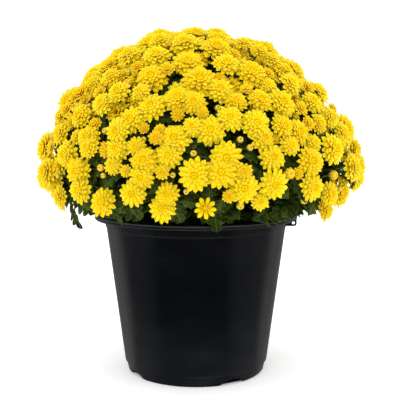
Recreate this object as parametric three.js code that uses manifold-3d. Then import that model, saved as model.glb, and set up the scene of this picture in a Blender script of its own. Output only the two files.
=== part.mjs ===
// A garden chrysanthemum in flower: a dome of yellow blooms on leafy stems in a black nursery pot.
// Millimetres, +Z up. The origin is the centre of the pot's flat base, and the front looks along -Y.
import * as THREE from 'three';
import { mergeVertices } from 'three/addons/utils/BufferGeometryUtils.js';
import Module from 'manifold-3d';

const wasm = await Module();
wasm.setup();
const { Manifold, Mesh: SolidMesh } = wasm;

const UP = new THREE.Vector3(0, 0, 1);
const GOLDEN_ANGLE = 137.50776;
const SEAT_GAP = 0.3; // clearance between two pieces that touch
const MELD = 0.12; // corners this close to straight are left out where leaves and stalks join

// ---- driving dimensions: pot and potting mix --------------------------------------------------
const POT = {
  sides: 32,
  baseRadius: 77.5,
  cornerRise: 2,
  stepRadius: 79.3,
  stepHeight: 11.3,
  wallFootRadius: 81,
  wallTopRadius: 101,
  wallTop: 164.1,
  collarRadius: 101.9,
  lipRadius: 114,
  lipBottom: 173.4,
  edge: 0.8, // bevel of the lip and of the steps
  brim: 1.4, // bevel of the mouth, and of the inner corner above the floor
  height: 178,
  wall: 1.6,
  floor: 1.8,
};
const DRAIN = { count: 4, firstAzimuth: 31, width: 31, height: 6, depth: 13, sides: 20 };
const LUG = {
  azimuth: 84, thickness: 2.2, outerRadius: 113.4, bottom: 164.6, corner: 3,
  holeRadius: 1.7, holeInset: 3.6, holeSides: 4, sunk: 0.5,
};
const MIX = { top: 153, crown: 3 };

// ---- driving dimensions: the dome of blooms ----------------------------------------------------
// The blooms sit on a rounded dome that is wider than it is high and tucks in below its widest level.
const DOME = { radius: 173.5, rise: 157.5, drop: 72, level: 222, shift: 5.6, lean: -0.065, fullness: 1.05 };
const HEART = new THREE.Vector3(DOME.shift, 0, 205); // the stems fan out from about here

// Blooms placed by hand on the front: [azimuth from the front, angle down from the top, diameter].
const FRONT_BLOOMS = [
  [62, 11, 28], [-27, 26, 25], [-6, 27, 33], [43, 27, 19], [16, 31, 32], [48, 33, 21], [-41, 36, 25],
  [-22, 36, 30], [52, 37, 21], [-53, 40, 17], [-3, 40, 31], [-30, 42, 14], [16, 42, 27], [54, 43, 23],
  [-13, 44, 18], [38, 45, 14], [27, 46, 31], [-43, 47, 22], [-20, 47, 33], [2, 49, 35], [-54, 50, 20],
  [32, 51, 22], [45, 51, 24], [59, 52, 17], [10, 53, 29], [-56, 55, 18], [-32, 55, 25], [-22, 55, 19],
  [-58, 57, 14], [-7, 57, 30], [15, 58, 23], [25, 58, 25], [55, 58, 24], [-39, 59, 25], [-1, 59, 24],
  [34, 59, 31], [-17, 60, 30], [43, 61, 16], [81, 61, 15], [-60, 62, 18], [-49, 64, 26], [-63, 65, 17],
  [-24, 65, 28], [11, 65, 26], [60, 65, 23], [-40, 67, 16], [20, 67, 30], [50, 67, 22], [-2, 68, 19],
  [30, 68, 25], [-13, 69, 13], [4, 69, 30], [-28, 70, 25], [37, 70, 29], [-60, 71, 25], [66, 71, 23],
  [-41, 72, 27], [-14, 72, 15], [-8, 72, 31], [22, 72, 26], [63, 74, 19], [-21, 75, 19], [31, 75, 21],
  [-39, 76, 23], [-28, 76, 26], [-69, 77, 15], [51, 77, 32], [-10, 78, 26], [-51, 79, 28], [8, 79, 31],
  [24, 79, 26], [85, 79, 27], [-18, 80, 28], [38, 81, 29], [-29, 82, 19], [-24, 84, 13], [-12, 84, 15],
  [6, 84, 31], [13, 84, 18], [-44, 85, 29], [-2, 85, 31], [66, 85, 29], [-19, 86, 24], [-70, 87, 30],
  [23, 89, 28], [13, 90, 30], [38, 92, 27], [-43, 95, 27], [-22, 95, 26], [-11, 96, 23], [8, 96, 13],
  [49, 100, 24], [19, 102, 19], [-34, 103, 29], [1, 103, 19], [-62, 105, 23], [-13, 107, 26], [53, 114, 24],
];
// Buds placed by hand on the front, given in the same way.
const FRONT_BUDS = [
  [13, 12, 12], [-12, 14, 10], [12, 23, 6], [-37, 29, 6], [-36, 43, 6], [-32, 49, 10], [-49, 59, 6],
  [8, 60, 7], [-12, 63, 11], [-32, 66, 6], [-35, 69, 7], [-19, 72, 6], [14, 72, 7], [17, 75, 7],
  [-2, 77, 7], [-35, 83, 8], [-9, 85, 6], [30, 85, 12], [-34, 86, 6], [52, 87, 10], [-61, 88, 6],
  [-16, 88, 6], [-36, 93, 8], [-5, 94, 6], [58, 99, 6], [-2, 101, 6], [38, 106, 8], [-27, 107, 5],
  [13, 108, 8],
];
// The rest of the dome is filled by a spiral of blooms that keep their distance from those above.
const FILL = {
  count: 290, lowest: 112, nudge: 1.4, smallest: 31, largest: 39, spacing: 26,
  frontHalfWidth: 64, frontTop: 34, seed: 11,
};
const BLOOM_SEED = 5;
const BLOOM_LIFT = 3; // how far blooms stand above or below the dome
const BLOOM_TILT = 0.16; // how far their faces turn from the dome's own direction
const LOWEST_FACING = 0.08; // blooms under the dome's edge still face outwards
const SPRAYS = 24;

// One bloom's proportions, as shares of its radius.
const BLOOM = {
  petalSpan: 2.6, fewestPetals: 5, mostPetals: 6,
  innerReach: 0.56, innerRise: 0.32, centreRise: 0.06, notchReach: 0.85, notchRise: -0.02,
  tipRise: -0.1, seat: -0.42,
};
// Two blooms of a spray are one body where a petal of each meets the other's, end to end.
const JOINT = { longest: 1.32, halfWidth: 1.9, depth: 1.7, drop: 0.05, leastTurn: 36 };

// ---- driving dimensions: stems, buds and leaves -------------------------------------------------
const STEM = { radius: 2.3, tipRadius: 1.6, rootEnd: 122, collarHeight: 162, spread: 0.36, hubShare: 0.68 };
// Two side stalks leave below each hub, at these shares of the way up to it.
const STALK = { radius: 1.2, rootRadius: 0.6, tipRadius: 1, start: 0.86, step: 0.07 };
const BUD = {
  depth: 5, height: 1.15, bluntness: 0.35, stalkLength: 38,
  count: 35, smallest: 7, largest: 10, polar: [20, 105], clearShare: 0.95, seed: 23,
};
// One half of a leaf's lobed edge, as shares of its length. A leaf's corners are numbered along one
// half, along the other, its tip, then along the rib above and below from its heel.
const LEAF = {
  outline: [[0.34, 0.27], [0.46, 0.14], [0.66, 0.28], [0.77, 0.13]],
  ribs: [0, 0.4, 0.72],
  upperHalf: [[9, 10, 0], [10, 1, 0], [10, 11, 1], [11, 2, 1], [11, 3, 2], [11, 8, 3]],
  ribRise: 0.7, fold: 0.12, arch: 0.25,
};
// The leaves of a whorl spread round a stem below its hub, each as long as it has room for.
const WHORL = {
  leaves: 4, place: 0.76, lengths: [50, 44, 38, 31, 24], lift: [0.45, 1.05], valley: 6, thickness: 3.2,
  notchAt: 0.38, notchOut: 0.28, lobeAt: 0.66, lobeOut: 0.14, crown: 0.5, seed: 31,
};
// Leaves that hang over the pot's rim: [azimuth, radius and height of the tip]. Those at the back
// follow by a rule.
const FRONT_SKIRT = [
  [-90, 148, 187], [-88, 137, 182], [-85, 128, 162], [-58, 124, 186], [-39, 121, 178], [-28, 118, 184],
  [-7, 119, 183], [10, 119, 173], [18, 118, 182], [39, 118, 183], [68, 118, 182], [75, 128, 183],
  [85, 156, 196], [88, 169, 198],
];
const BACK_SKIRT = { first: 104, last: 256, step: 15.2, radius: [117, 132], height: [174, 190], seed: 41 };
const SKIRT = { length: 34, faceLift: 0.5 };

// Where a leaf or bud may be borne: every so far along a stem or stalk, the best few of the spots.
const BEARER = { step: 0.1, end: 0.95, tries: 25 };

// ---- small helpers ------------------------------------------------------------------------------
const radians = THREE.MathUtils.degToRad;

/** Returns draw(low, high), a seeded source of numbers, so that every build is the same. */
function makeDraws(seed) {
  let state = seed;
  return (low, high) => {
    state = (Math.imul(state, 1664525) + 1013904223) >>> 0;
    return low + (high - low) * (state / 4294967296);
  };
}

/** A closed solid from a list of points and a list of triangles of point numbers. */
function solidFromTriangles(points, triangles) {
  const vertProperties = new Float32Array(points.flatMap((p) => [p.x, p.y, p.z]));
  const triVerts = new Uint32Array(triangles.flat());
  return new Manifold(new SolidMesh({ numProp: 3, vertProperties, triVerts }));
}

/** A closed solid from a three.js geometry whose seams are merged and whose empty triangles go. */
function solidFromGeometry(geometry) {
  const bare = geometry.clone();
  bare.deleteAttribute('normal');
  bare.deleteAttribute('uv');
  const merged = mergeVertices(bare, 1e-3);
  const index = Array.from(merged.index.array);
  const triangles = [];
  for (let i = 0; i < index.length; i += 3) {
    const [a, b, c] = index.slice(i, i + 3);
    if (a !== b && b !== c && c !== a) triangles.push([a, b, c]);
  }
  const places = merged.getAttribute('position');
  const points = [];
  for (let i = 0; i < places.count; i += 1) {
    points.push(new THREE.Vector3().fromBufferAttribute(places, i));
  }
  return solidFromTriangles(points, triangles);
}

/** Two directions that stand square to an axis and to each other, and turn right-handed round it. */
function crossAxes(axis) {
  const helper = Math.abs(axis.z) < 0.9 ? UP : new THREE.Vector3(1, 0, 0);
  const side = new THREE.Vector3().crossVectors(helper, axis).normalize();
  const other = new THREE.Vector3().crossVectors(axis, side);
  return [side, other];
}

/** The direction square to a bent path, or to a straight one, that its limb's section starts from. */
function bendSide(path) {
  const first = path[1].clone().sub(path[0]).normalize();
  const last = path.at(-1).clone().sub(path.at(-2)).normalize();
  const square = new THREE.Vector3().crossVectors(first, last);
  return square.length() > 0.05 ? square.normalize() : crossAxes(first)[0];
}

/** A straight-sided limb through the given points, with a radius at each of them. */
function limb(path, radii, sides, side = bendSide(path)) {
  const points = [];
  const triangles = [];
  path.forEach((place, ring) => {
    const before = path[Math.max(ring - 1, 0)];
    const after = path[Math.min(ring + 1, path.length - 1)];
    const other = new THREE.Vector3().crossVectors(after.clone().sub(before).normalize(), side);
    for (let k = 0; k < sides; k += 1) {
      const turn = (2 * Math.PI * k) / sides;
      points.push(place.clone()
        .addScaledVector(side, radii[ring] * Math.cos(turn))
        .addScaledVector(other, radii[ring] * Math.sin(turn)));
    }
  });
  for (let ring = 0; ring + 1 < path.length; ring += 1) {
    for (let k = 0; k < sides; k += 1) {
      const a = ring * sides + k;
      const b = ring * sides + ((k + 1) % sides);
      triangles.push([a, b, b + sides], [a, b + sides, a + sides]);
    }
  }
  const last = (path.length - 1) * sides;
  for (let k = 1; k + 1 < sides; k += 1) {
    triangles.push([0, k + 1, k], [last, last + k, last + k + 1]);
  }
  return solidFromTriangles(points, triangles);
}

// ---- pot and potting mix ------------------------------------------------------------------------
/** A body of revolution about Z from [radius, height] pairs that start and end on the axis. */
function turned(profile) {
  const outline = profile.map(([radius, height]) => new THREE.Vector2(radius, height));
  const geometry = new THREE.LatheGeometry(outline, POT.sides);
  geometry.rotateX(Math.PI / 2);
  return solidFromGeometry(geometry);
}

/** The radius of the pot's inner wall at a height. */
function innerRadius(height) {
  const share = (height - POT.stepHeight) / (POT.wallTop - POT.stepHeight);
  return POT.stepRadius + (POT.wallTopRadius - POT.stepRadius) * share - POT.wall;
}

/** The four arched drain openings in the corner between wall and base. */
function drainCutters() {
  const radius = ((DRAIN.width / 2) ** 2 + DRAIN.height ** 2) / (2 * DRAIN.height);
  const cutters = [];
  for (let i = 0; i < DRAIN.count; i += 1) {
    const geometry = new THREE.CylinderGeometry(radius, radius, DRAIN.depth, DRAIN.sides);
    geometry.translate(0, -POT.baseRadius, 0);
    geometry.translate(0, 0, DRAIN.height - radius);
    geometry.rotateZ(radians(DRAIN.firstAzimuth + (360 / DRAIN.count) * i));
    cutters.push(solidFromGeometry(geometry));
  }
  return cutters;
}

/** The holed lug that hangs under the lip, as a flat plate on a radius of the pot. */
function tagLug() {
  const inner = POT.wallTopRadius - LUG.sunk;
  const top = POT.lipBottom + LUG.sunk;
  const shape = new THREE.Shape();
  shape.moveTo(inner, top);
  shape.lineTo(inner, LUG.bottom);
  shape.lineTo(LUG.outerRadius - LUG.corner, LUG.bottom);
  shape.quadraticCurveTo(LUG.outerRadius, LUG.bottom, LUG.outerRadius, LUG.bottom + LUG.corner);
  shape.lineTo(LUG.outerRadius, top);
  const hole = new THREE.Path();
  hole.absarc(LUG.outerRadius - LUG.holeInset, LUG.bottom + LUG.holeInset, LUG.holeRadius, 0, 2 * Math.PI);
  shape.holes.push(hole);
  const geometry = new THREE.ExtrudeGeometry(shape, {
    depth: LUG.thickness, bevelEnabled: false, curveSegments: LUG.holeSides,
  });
  geometry.translate(0, 0, -LUG.thickness / 2);
  geometry.rotateX(Math.PI / 2);
  geometry.rotateZ(radians(LUG.azimuth - 90));
  return solidFromGeometry(geometry);
}

/** The nursery pot: tapered wall, step at the foot, collar, flat lip, drain arches and tag lug. */
function potSolid() {
  const lipInner = innerRadius(POT.height - POT.brim);
  const shell = turned([
    [0, 0],
    [POT.baseRadius - POT.cornerRise, 0],
    [POT.baseRadius, POT.cornerRise],
    [POT.stepRadius, POT.stepHeight],
    [POT.wallFootRadius, POT.stepHeight + POT.edge],
    [POT.wallTopRadius, POT.wallTop],
    [POT.collarRadius, POT.wallTop + POT.edge],
    [POT.collarRadius + POT.edge, POT.lipBottom],
    [POT.lipRadius - POT.edge, POT.lipBottom],
    [POT.lipRadius, POT.lipBottom + POT.edge],
    [POT.lipRadius, POT.height - POT.edge],
    [POT.lipRadius - POT.edge, POT.height],
    [lipInner + POT.brim, POT.height],
    [lipInner, POT.height - POT.brim],
    [innerRadius(POT.stepHeight), POT.stepHeight],
    [POT.baseRadius - POT.wall - POT.brim, POT.floor],
    [0, POT.floor],
  ]);
  return shell.add(tagLug()).subtract(Manifold.union(drainCutters()));
}

/** The potting mix that fills the pot, with a plain hole for each stem. */
function mixSolid(stems) {
  const foot = POT.floor + SEAT_GAP;
  const footRadius = POT.baseRadius - POT.wall - POT.brim - 2 * SEAT_GAP;
  const body = turned([
    [0, foot],
    [footRadius, foot],
    [innerRadius(POT.stepHeight) - 2 * SEAT_GAP, POT.stepHeight],
    [innerRadius(MIX.top) - 2 * SEAT_GAP, MIX.top],
    [0, MIX.top + MIX.crown],
  ]);
  const holes = stems.map((stem) => {
    const bottom = stem.root.clone().setZ(STEM.rootEnd - SEAT_GAP);
    const above = stem.root.clone().setZ(POT.height);
    const radius = STEM.radius + 1.5 * SEAT_GAP;
    return limb([bottom, above], [radius, radius], 4, stem.side);
  });
  return body.subtract(Manifold.union(holes));
}

// ---- where the blooms stand ---------------------------------------------------------------------
/** The point and outward direction of the dome at two angles in degrees. */
function domeSpot(azimuth, polar) {
  const across = Math.sin(radians(polar));
  const along = Math.cos(radians(polar));
  const tall = along > 0 ? DOME.rise : DOME.drop;
  const reach = DOME.radius * across ** DOME.fullness;
  const height = tall * Math.sign(along) * Math.abs(along) ** DOME.fullness;
  const turn = radians(azimuth);
  const axisX = DOME.shift + DOME.lean * Math.max(height, 0);
  const place = new THREE.Vector3(
    axisX + reach * Math.sin(turn), -reach * Math.cos(turn), DOME.level + height,
  );
  const outward = across / DOME.radius;
  const facing = new THREE.Vector3(
    outward * Math.sin(turn), -outward * Math.cos(turn), along / tall,
  ).normalize();
  return { place, facing };
}

/** One bloom: where its centre is, which way its face looks, and its radius. */
function makeBloom(azimuth, polar, radius, draw) {
  const { place, facing } = domeSpot(azimuth, polar);
  place.addScaledVector(facing, draw(-BLOOM_LIFT, BLOOM_LIFT));
  const axis = facing.clone().setZ(Math.max(facing.z, LOWEST_FACING)).normalize();
  const [side, other] = crossAxes(axis);
  axis.addScaledVector(side, draw(-BLOOM_TILT, BLOOM_TILT));
  axis.addScaledVector(other, draw(-BLOOM_TILT, BLOOM_TILT)).normalize();
  return { place, axis, radius, walls: [], joints: [], spray: -1 };
}

/** All the blooms: those placed by hand on the front, then the spiral that fills the rest. */
function layBlooms() {
  const drawFront = makeDraws(BLOOM_SEED);
  const blooms = FRONT_BLOOMS.map(([azimuth, polar, size]) => (
    makeBloom(azimuth, polar, size / 2, drawFront)));
  const draw = makeDraws(FILL.seed);
  const lowCosine = Math.cos(radians(FILL.lowest));
  for (let i = 0; i < FILL.count; i += 1) {
    const share = (i + 0.5) / FILL.count;
    const polar = THREE.MathUtils.radToDeg(Math.acos(1 - share * (1 - lowCosine)))
      + draw(-FILL.nudge, FILL.nudge);
    const azimuth = ((i * GOLDEN_ANGLE) % 360) - 180 + draw(-FILL.nudge, FILL.nudge);
    const bloom = makeBloom(azimuth, polar, draw(FILL.smallest, FILL.largest) / 2, draw);
    const onFront = Math.abs(azimuth) < FILL.frontHalfWidth && polar > FILL.frontTop;
    const crowded = blooms.some((other) => other.place.distanceTo(bloom.place) < FILL.spacing);
    if (!onFront && !crowded) blooms.push(bloom);
  }
  return blooms;
}

// ---- which blooms make a spray ------------------------------------------------------------------
/** Finds the planes midway to a bloom's neighbours, inside which its petals are bent clear. */
function findWalls(bloom, blooms) {
  for (const other of blooms) {
    const toward = other.place.clone().sub(bloom.place);
    const apart = toward.length();
    const reach = bloom.radius + other.radius;
    if (other !== bloom && apart < 1.5 * reach) {
      const limit = (apart * bloom.radius) / reach - SEAT_GAP / 2;
      bloom.walls.push({ other, toward: toward.normalize(), limit });
    }
  }
}

/** The angle of a direction round a bloom's axis. */
function turnOf(bloom, direction) {
  const [side, other] = crossAxes(bloom.axis);
  return Math.atan2(direction.dot(other), direction.dot(side));
}

/** Whether a petal can point in a direction without crowding the petals that are joined already. */
function hasRoom(bloom, direction) {
  return bloom.joints.every((joint) => {
    const partner = joint.ends[0] === bloom ? joint.ends[1] : joint.ends[0];
    const held = partner.place.clone().sub(bloom.place);
    const turn = Math.abs(turnOf(bloom, direction) - turnOf(bloom, held));
    return Math.min(turn, 2 * Math.PI - turn) > radians(JOINT.leastTurn);
  });
}

/** The corners where a petal of each of two blooms meet, or null where a third bloom is in the way. */
function makeJoint(bloom, next) {
  const toward = next.place.clone().sub(bloom.place);
  const apart = toward.length();
  const reach = bloom.radius + next.radius;
  if (apart > JOINT.longest * reach) return null;
  const across = new THREE.Vector3().crossVectors(bloom.axis.clone().add(next.axis), toward).normalize();
  const below = new THREE.Vector3().crossVectors(across, toward).normalize();
  const middle = bloom.place.clone().lerp(next.place, bloom.radius / reach)
    .addScaledVector(below, JOINT.drop * apart);
  const spots = [
    middle.clone().addScaledVector(across, -JOINT.halfWidth),
    middle.clone().addScaledVector(across, JOINT.halfWidth),
    middle.clone().addScaledVector(below, JOINT.depth),
  ];
  const ends = [bloom, next];
  const open = ends.every((end) => end.walls.every((wall) => (
    ends.includes(wall.other)
    || spots.every((spot) => spot.clone().sub(end.place).dot(wall.toward) < wall.limit))));
  return open ? { ends, spots, corners: [] } : null;
}

/** Shares the blooms out among the sprays: each spray grows outwards from its first bloom. */
function growSprays(blooms) {
  const firsts = [blooms[0]];
  while (firsts.length < SPRAYS) {
    const lonely = (bloom) => Math.min(...firsts.map((f) => f.place.distanceTo(bloom.place)));
    firsts.push(blooms.reduce((best, bloom) => (lonely(bloom) > lonely(best) ? bloom : best)));
  }
  const open = [];
  const reachFrom = (bloom, cost) => {
    for (const { other } of bloom.walls) {
      open.push({ bloom, next: other, cost: cost + bloom.place.distanceToSquared(other.place) });
    }
  };
  firsts.forEach((bloom, i) => {
    bloom.spray = i;
    reachFrom(bloom, 0);
  });
  while (open.length > 0) {
    open.sort((a, b) => b.cost - a.cost);
    const { bloom, next, cost } = open.pop();
    const toward = next.place.clone().sub(bloom.place);
    const free = next.spray < 0 && hasRoom(bloom, toward) && hasRoom(next, toward.negate());
    const joint = free ? makeJoint(bloom, next) : null;
    if (joint) {
      next.spray = bloom.spray;
      bloom.joints.push(joint);
      next.joints.push(joint);
      reachFrom(next, cost);
    }
  }
}

// ---- blooms -------------------------------------------------------------------------------------
/** Shortens an offset from a bloom's centre until it stays inside the bloom's walls. */
function bentClear(offset, walls) {
  let share = 1;
  for (const { toward, limit } of walls) {
    const reach = offset.dot(toward);
    if (reach > limit) share = Math.min(share, limit / reach);
  }
  return offset.multiplyScalar(share);
}

/** The directions of a bloom's outer petals: those that are joined, and the rest spread between. */
function petalTurns(bloom) {
  const count = THREE.MathUtils.clamp(
    Math.round(bloom.radius / BLOOM.petalSpan), BLOOM.fewestPetals, BLOOM.mostPetals,
  );
  const held = bloom.joints.map((joint) => {
    const isFirst = joint.ends[0] === bloom;
    const [low, high, under] = joint.corners;
    const middle = joint.spots[0].clone().lerp(joint.spots[1], 0.5).sub(bloom.place);
    return { turn: turnOf(bloom, middle), corners: isFirst ? [low, high, under] : [high, low, under] };
  }).sort((a, b) => a.turn - b.turn);
  if (held.length === 0) held.push({ turn: 0, corners: null });
  const petals = [];
  held.forEach((petal, i) => {
    const isLast = i + 1 === held.length;
    const gap = isLast ? held[0].turn + 2 * Math.PI - petal.turn : held[i + 1].turn - petal.turn;
    const extra = Math.max(Math.round((gap * count) / (2 * Math.PI)) - 1, 0);
    petals.push(petal);
    for (let k = 1; k <= extra; k += 1) {
      petals.push({ turn: petal.turn + (gap * k) / (extra + 1), corners: null });
    }
  });
  return petals;
}

/** Adds one bloom: outer petals, with an inner ring of petals raised over the notches between. */
function addBloom(bloom, addPoint, triangles) {
  const { place, axis, radius, walls } = bloom;
  const [side, other] = crossAxes(axis);
  const spot = (reach, turn, rise) => {
    const offset = side.clone().multiplyScalar(reach * radius * Math.cos(turn))
      .addScaledVector(other, reach * radius * Math.sin(turn))
      .addScaledVector(axis, rise * radius);
    return addPoint(bentClear(offset, walls).add(place));
  };
  const centre = spot(0, 0, BLOOM.centreRise);
  const seat = spot(0, 0, BLOOM.seat);
  const petals = petalTurns(bloom);
  const rows = petals.map(({ turn, corners }, k) => {
    const next = petals[(k + 1) % petals.length].turn + (k + 1 === petals.length ? 2 * Math.PI : 0);
    const between = (turn + next) / 2;
    const [low, high, under] = corners ?? Array(3).fill(spot(1, turn, BLOOM.tipRise));
    return {
      low, high, under, joined: corners !== null,
      inner: spot(BLOOM.innerReach, between, BLOOM.innerRise),
      notch: spot(BLOOM.notchReach, between, BLOOM.notchRise),
    };
  });
  rows.forEach(({ low, high, under, joined, inner, notch }, k) => {
    const next = rows[(k + 1) % rows.length];
    triangles.push([centre, high, inner], [inner, high, notch], [seat, notch, under]);
    triangles.push([centre, inner, next.low], [inner, notch, next.low], [seat, next.under, notch]);
    if (joined) triangles.push([centre, low, high], [notch, high, under]);
    if (next.joined) triangles.push([notch, next.under, next.low]);
  });
}

/** A spray of blooms as one body. */
function spraySolid(own) {
  const points = [];
  const triangles = [];
  const addPoint = (point) => points.push(point) - 1;
  for (const joint of new Set(own.flatMap((bloom) => bloom.joints))) {
    joint.corners = joint.spots.map(addPoint);
  }
  for (const bloom of own) addBloom(bloom, addPoint, triangles);
  return solidFromTriangles(points, triangles);
}

// ---- stems and flower stalks --------------------------------------------------------------------
/** One stem for each spray: its root in the mix, the hub below its blooms, and its side stalks. */
function layStems(blooms) {
  const stems = [];
  for (let i = 0; i < SPRAYS; i += 1) {
    const own = blooms.filter((bloom) => bloom.spray === i);
    const middle = own.reduce((sum, bloom) => sum.add(bloom.place), new THREE.Vector3())
      .divideScalar(own.length);
    const hub = HEART.clone().lerp(middle, STEM.hubShare);
    const root = new THREE.Vector3(hub.x * STEM.spread, hub.y * STEM.spread, STEM.rootEnd);
    const collar = root.clone().setZ(STEM.collarHeight);
    const [lead, ...sideBlooms] = carriedBlooms(own);
    const side = bendSide([root, collar, hub]);
    const stem = { root, collar, hub, side, own, end: stalkEnd(hub, lead), carriers: [], parts: [] };
    stem.carriers.push([collar, hub], [hub, stem.end]);
    sideBlooms.forEach((bloom, k) => {
      const from = collar.clone().lerp(hub, STALK.start + STALK.step * k);
      stem.carriers.push([from, stalkEnd(from, bloom)]);
    });
    stem.parts.push(...stemParts(stem));
    stems.push(stem);
  }
  return stems;
}

/** The blooms of a spray that have a stalk here: its middle one and the two furthest apart. */
function carriedBlooms(own) {
  const carried = [own[0]];
  while (carried.length < Math.min(3, own.length)) {
    const spread = (bloom) => Math.min(...carried.map((c) => c.place.distanceTo(bloom.place)));
    carried.push(own.reduce((best, bloom) => (spread(bloom) > spread(best) ? bloom : best)));
  }
  return carried;
}

/** Where a stalk from a point ends, just short of the lowest point of its bloom. */
function stalkEnd(from, bloom) {
  const seat = bloom.axis.clone().multiplyScalar(BLOOM.seat * bloom.radius);
  const foot = bentClear(seat, bloom.walls).add(bloom.place);
  const along = foot.clone().sub(from).normalize();
  const slant = Math.sqrt(1 - Math.min(1, along.dot(bloom.axis) ** 2));
  return foot.addScaledVector(bloom.axis, -SEAT_GAP - slant * STALK.radius);
}

/** The stem from its root end through its hub to its leading bloom, and its side stalks. */
function stemParts({ root, collar, hub, end, side, carriers }) {
  const radii = [STEM.radius, STEM.radius, STEM.tipRadius, STALK.tipRadius];
  const stalks = carriers.slice(2).map((line) => limb(line, [STALK.rootRadius, STALK.tipRadius], 3));
  return [limb([root, collar, hub, end], radii, 4, side), ...stalks];
}

/** The spots on stems and stalks, those that lie most nearly at a wanted distance from a target first. */
function bearers(stems, target, wanted) {
  const found = [];
  for (const stem of stems) {
    for (const [from, to] of stem.carriers) {
      for (let share = BEARER.step; share < BEARER.end; share += BEARER.step) {
        const place = from.clone().lerp(to, share);
        found.push({ stem, place, miss: Math.abs(place.distanceTo(target) - wanted) });
      }
    }
  }
  return found.sort((a, b) => a.miss - b.miss).slice(0, BEARER.tries);
}

/** Whether a solid stands clear of everything but its own stem. */
function isClear(stem, solid, obstacles) {
  return obstacles.every((other) => other.stem === stem || solid.minGap(other.solid, 1) > SEAT_GAP);
}

/** Adds the first of the offered parts that stands clear of every other node, if there is one. */
function addClear(offers, obstacles) {
  const offer = offers.find(({ stem, solid }) => isClear(stem, solid, obstacles));
  if (!offer) return;
  offer.stem.parts.push(offer.solid);
  obstacles.push(offer);
}

// ---- buds ---------------------------------------------------------------------------------------
/** Where the buds stand: those placed by hand, then seeded ones in the gaps of the rest. */
function layBuds(blooms) {
  const buds = FRONT_BUDS.map(([azimuth, polar, size]) => {
    const { place, facing } = domeSpot(azimuth, polar);
    return { place: place.addScaledVector(facing, -BUD.depth), axis: facing, radius: size / 2 };
  });
  const draw = makeDraws(BUD.seed);
  while (buds.length < BUD.count) {
    const azimuth = draw(FILL.frontHalfWidth, 360 - FILL.frontHalfWidth);
    const { place, facing } = domeSpot(azimuth, draw(...BUD.polar));
    const radius = draw(BUD.smallest, BUD.largest) / 2;
    place.addScaledVector(facing, -BUD.depth);
    const clear = blooms.every((bloom) => (
      bloom.place.distanceTo(place) > bloom.radius * BUD.clearShare + radius));
    if (clear) buds.push({ place, axis: facing, radius });
  }
  return buds;
}

/** A bud on its stalk, plump in the middle and blunt at its tip. */
function budSolid({ place, axis, radius }, from) {
  const neck = place.clone().addScaledVector(axis, -BUD.height * radius);
  const tip = place.clone().addScaledVector(axis, BUD.height * radius);
  const radii = [STALK.rootRadius, STALK.tipRadius, radius, BUD.bluntness * radius];
  return limb([from, neck, place, tip], radii, 4);
}

/** The ways one bud may be borne by the stems and stalks near it. */
function budOffers(stems, bud) {
  return bearers(stems, bud.place, BUD.stalkLength)
    .map(({ stem, place }) => ({ stem, solid: budSolid(bud, place) }));
}

// ---- leaves -------------------------------------------------------------------------------------
/** A lobed leaf from a base sunk in its stem to its tip, arched and a little folded at its rib. */
function leafSolid({ base, tip, face }) {
  const ahead = tip.clone().sub(base);
  const length = ahead.length();
  ahead.normalize();
  const across = new THREE.Vector3().crossVectors(face, ahead).normalize();
  const above = new THREE.Vector3().crossVectors(ahead, across);
  const spot = (along, side, lift) => base.clone()
    .addScaledVector(ahead, along * length)
    .addScaledVector(across, side * length)
    .addScaledVector(above, lift + length * (LEAF.arch * along * (1 - along) + LEAF.fold * Math.abs(side)));
  const points = [];
  for (const sign of [1, -1]) {
    for (const [along, side] of LEAF.outline) points.push(spot(along, sign * side, 0));
  }
  points.push(spot(1, 0, 0));
  for (const lift of [LEAF.ribRise, -LEAF.ribRise]) {
    for (const along of LEAF.ribs) points.push(spot(along, 0, lift));
  }
  const sides = LEAF.outline.length;
  const firstRib = 2 * sides + 1;
  const mirrored = (corner) => (corner < sides ? corner + sides : corner);
  const lower = (corner) => (corner < firstRib ? corner : corner + LEAF.ribs.length);
  const triangles = [];
  for (const [a, b, c] of LEAF.upperHalf) {
    triangles.push([a, b, c], [lower(a), lower(c), lower(b)]);
    const [d, e, f] = [a, b, c].map(mirrored);
    triangles.push([d, f, e], [lower(d), lower(e), lower(f)]);
  }
  const [heelAbove, heelBelow] = [firstRib, lower(firstRib)];
  triangles.push([heelAbove, 0, heelBelow], [heelAbove, heelBelow, sides]);
  return solidFromTriangles(points, triangles);
}

/** Where the tips of the leaves that hang over the rim are. */
function skirtTips() {
  const draw = makeDraws(BACK_SKIRT.seed);
  const rows = [...FRONT_SKIRT];
  for (let azimuth = BACK_SKIRT.first; azimuth < BACK_SKIRT.last; azimuth += BACK_SKIRT.step) {
    rows.push([azimuth, draw(...BACK_SKIRT.radius), draw(...BACK_SKIRT.height)]);
  }
  return rows.map(([azimuth, radius, height]) => {
    const turn = radians(azimuth);
    return new THREE.Vector3(radius * Math.sin(turn), -radius * Math.cos(turn), height);
  });
}

/** The leaves that may grow at one tip over the rim, from the stems and stalks near it. */
function skirtOffers(stems, tip) {
  const face = tip.clone().setZ(0).normalize().addScaledVector(UP, SKIRT.faceLift).normalize();
  return bearers(stems, tip, SKIRT.length)
    .map(({ stem, place }) => ({ stem, solid: leafSolid({ base: place, tip, face }) }));
}

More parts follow.
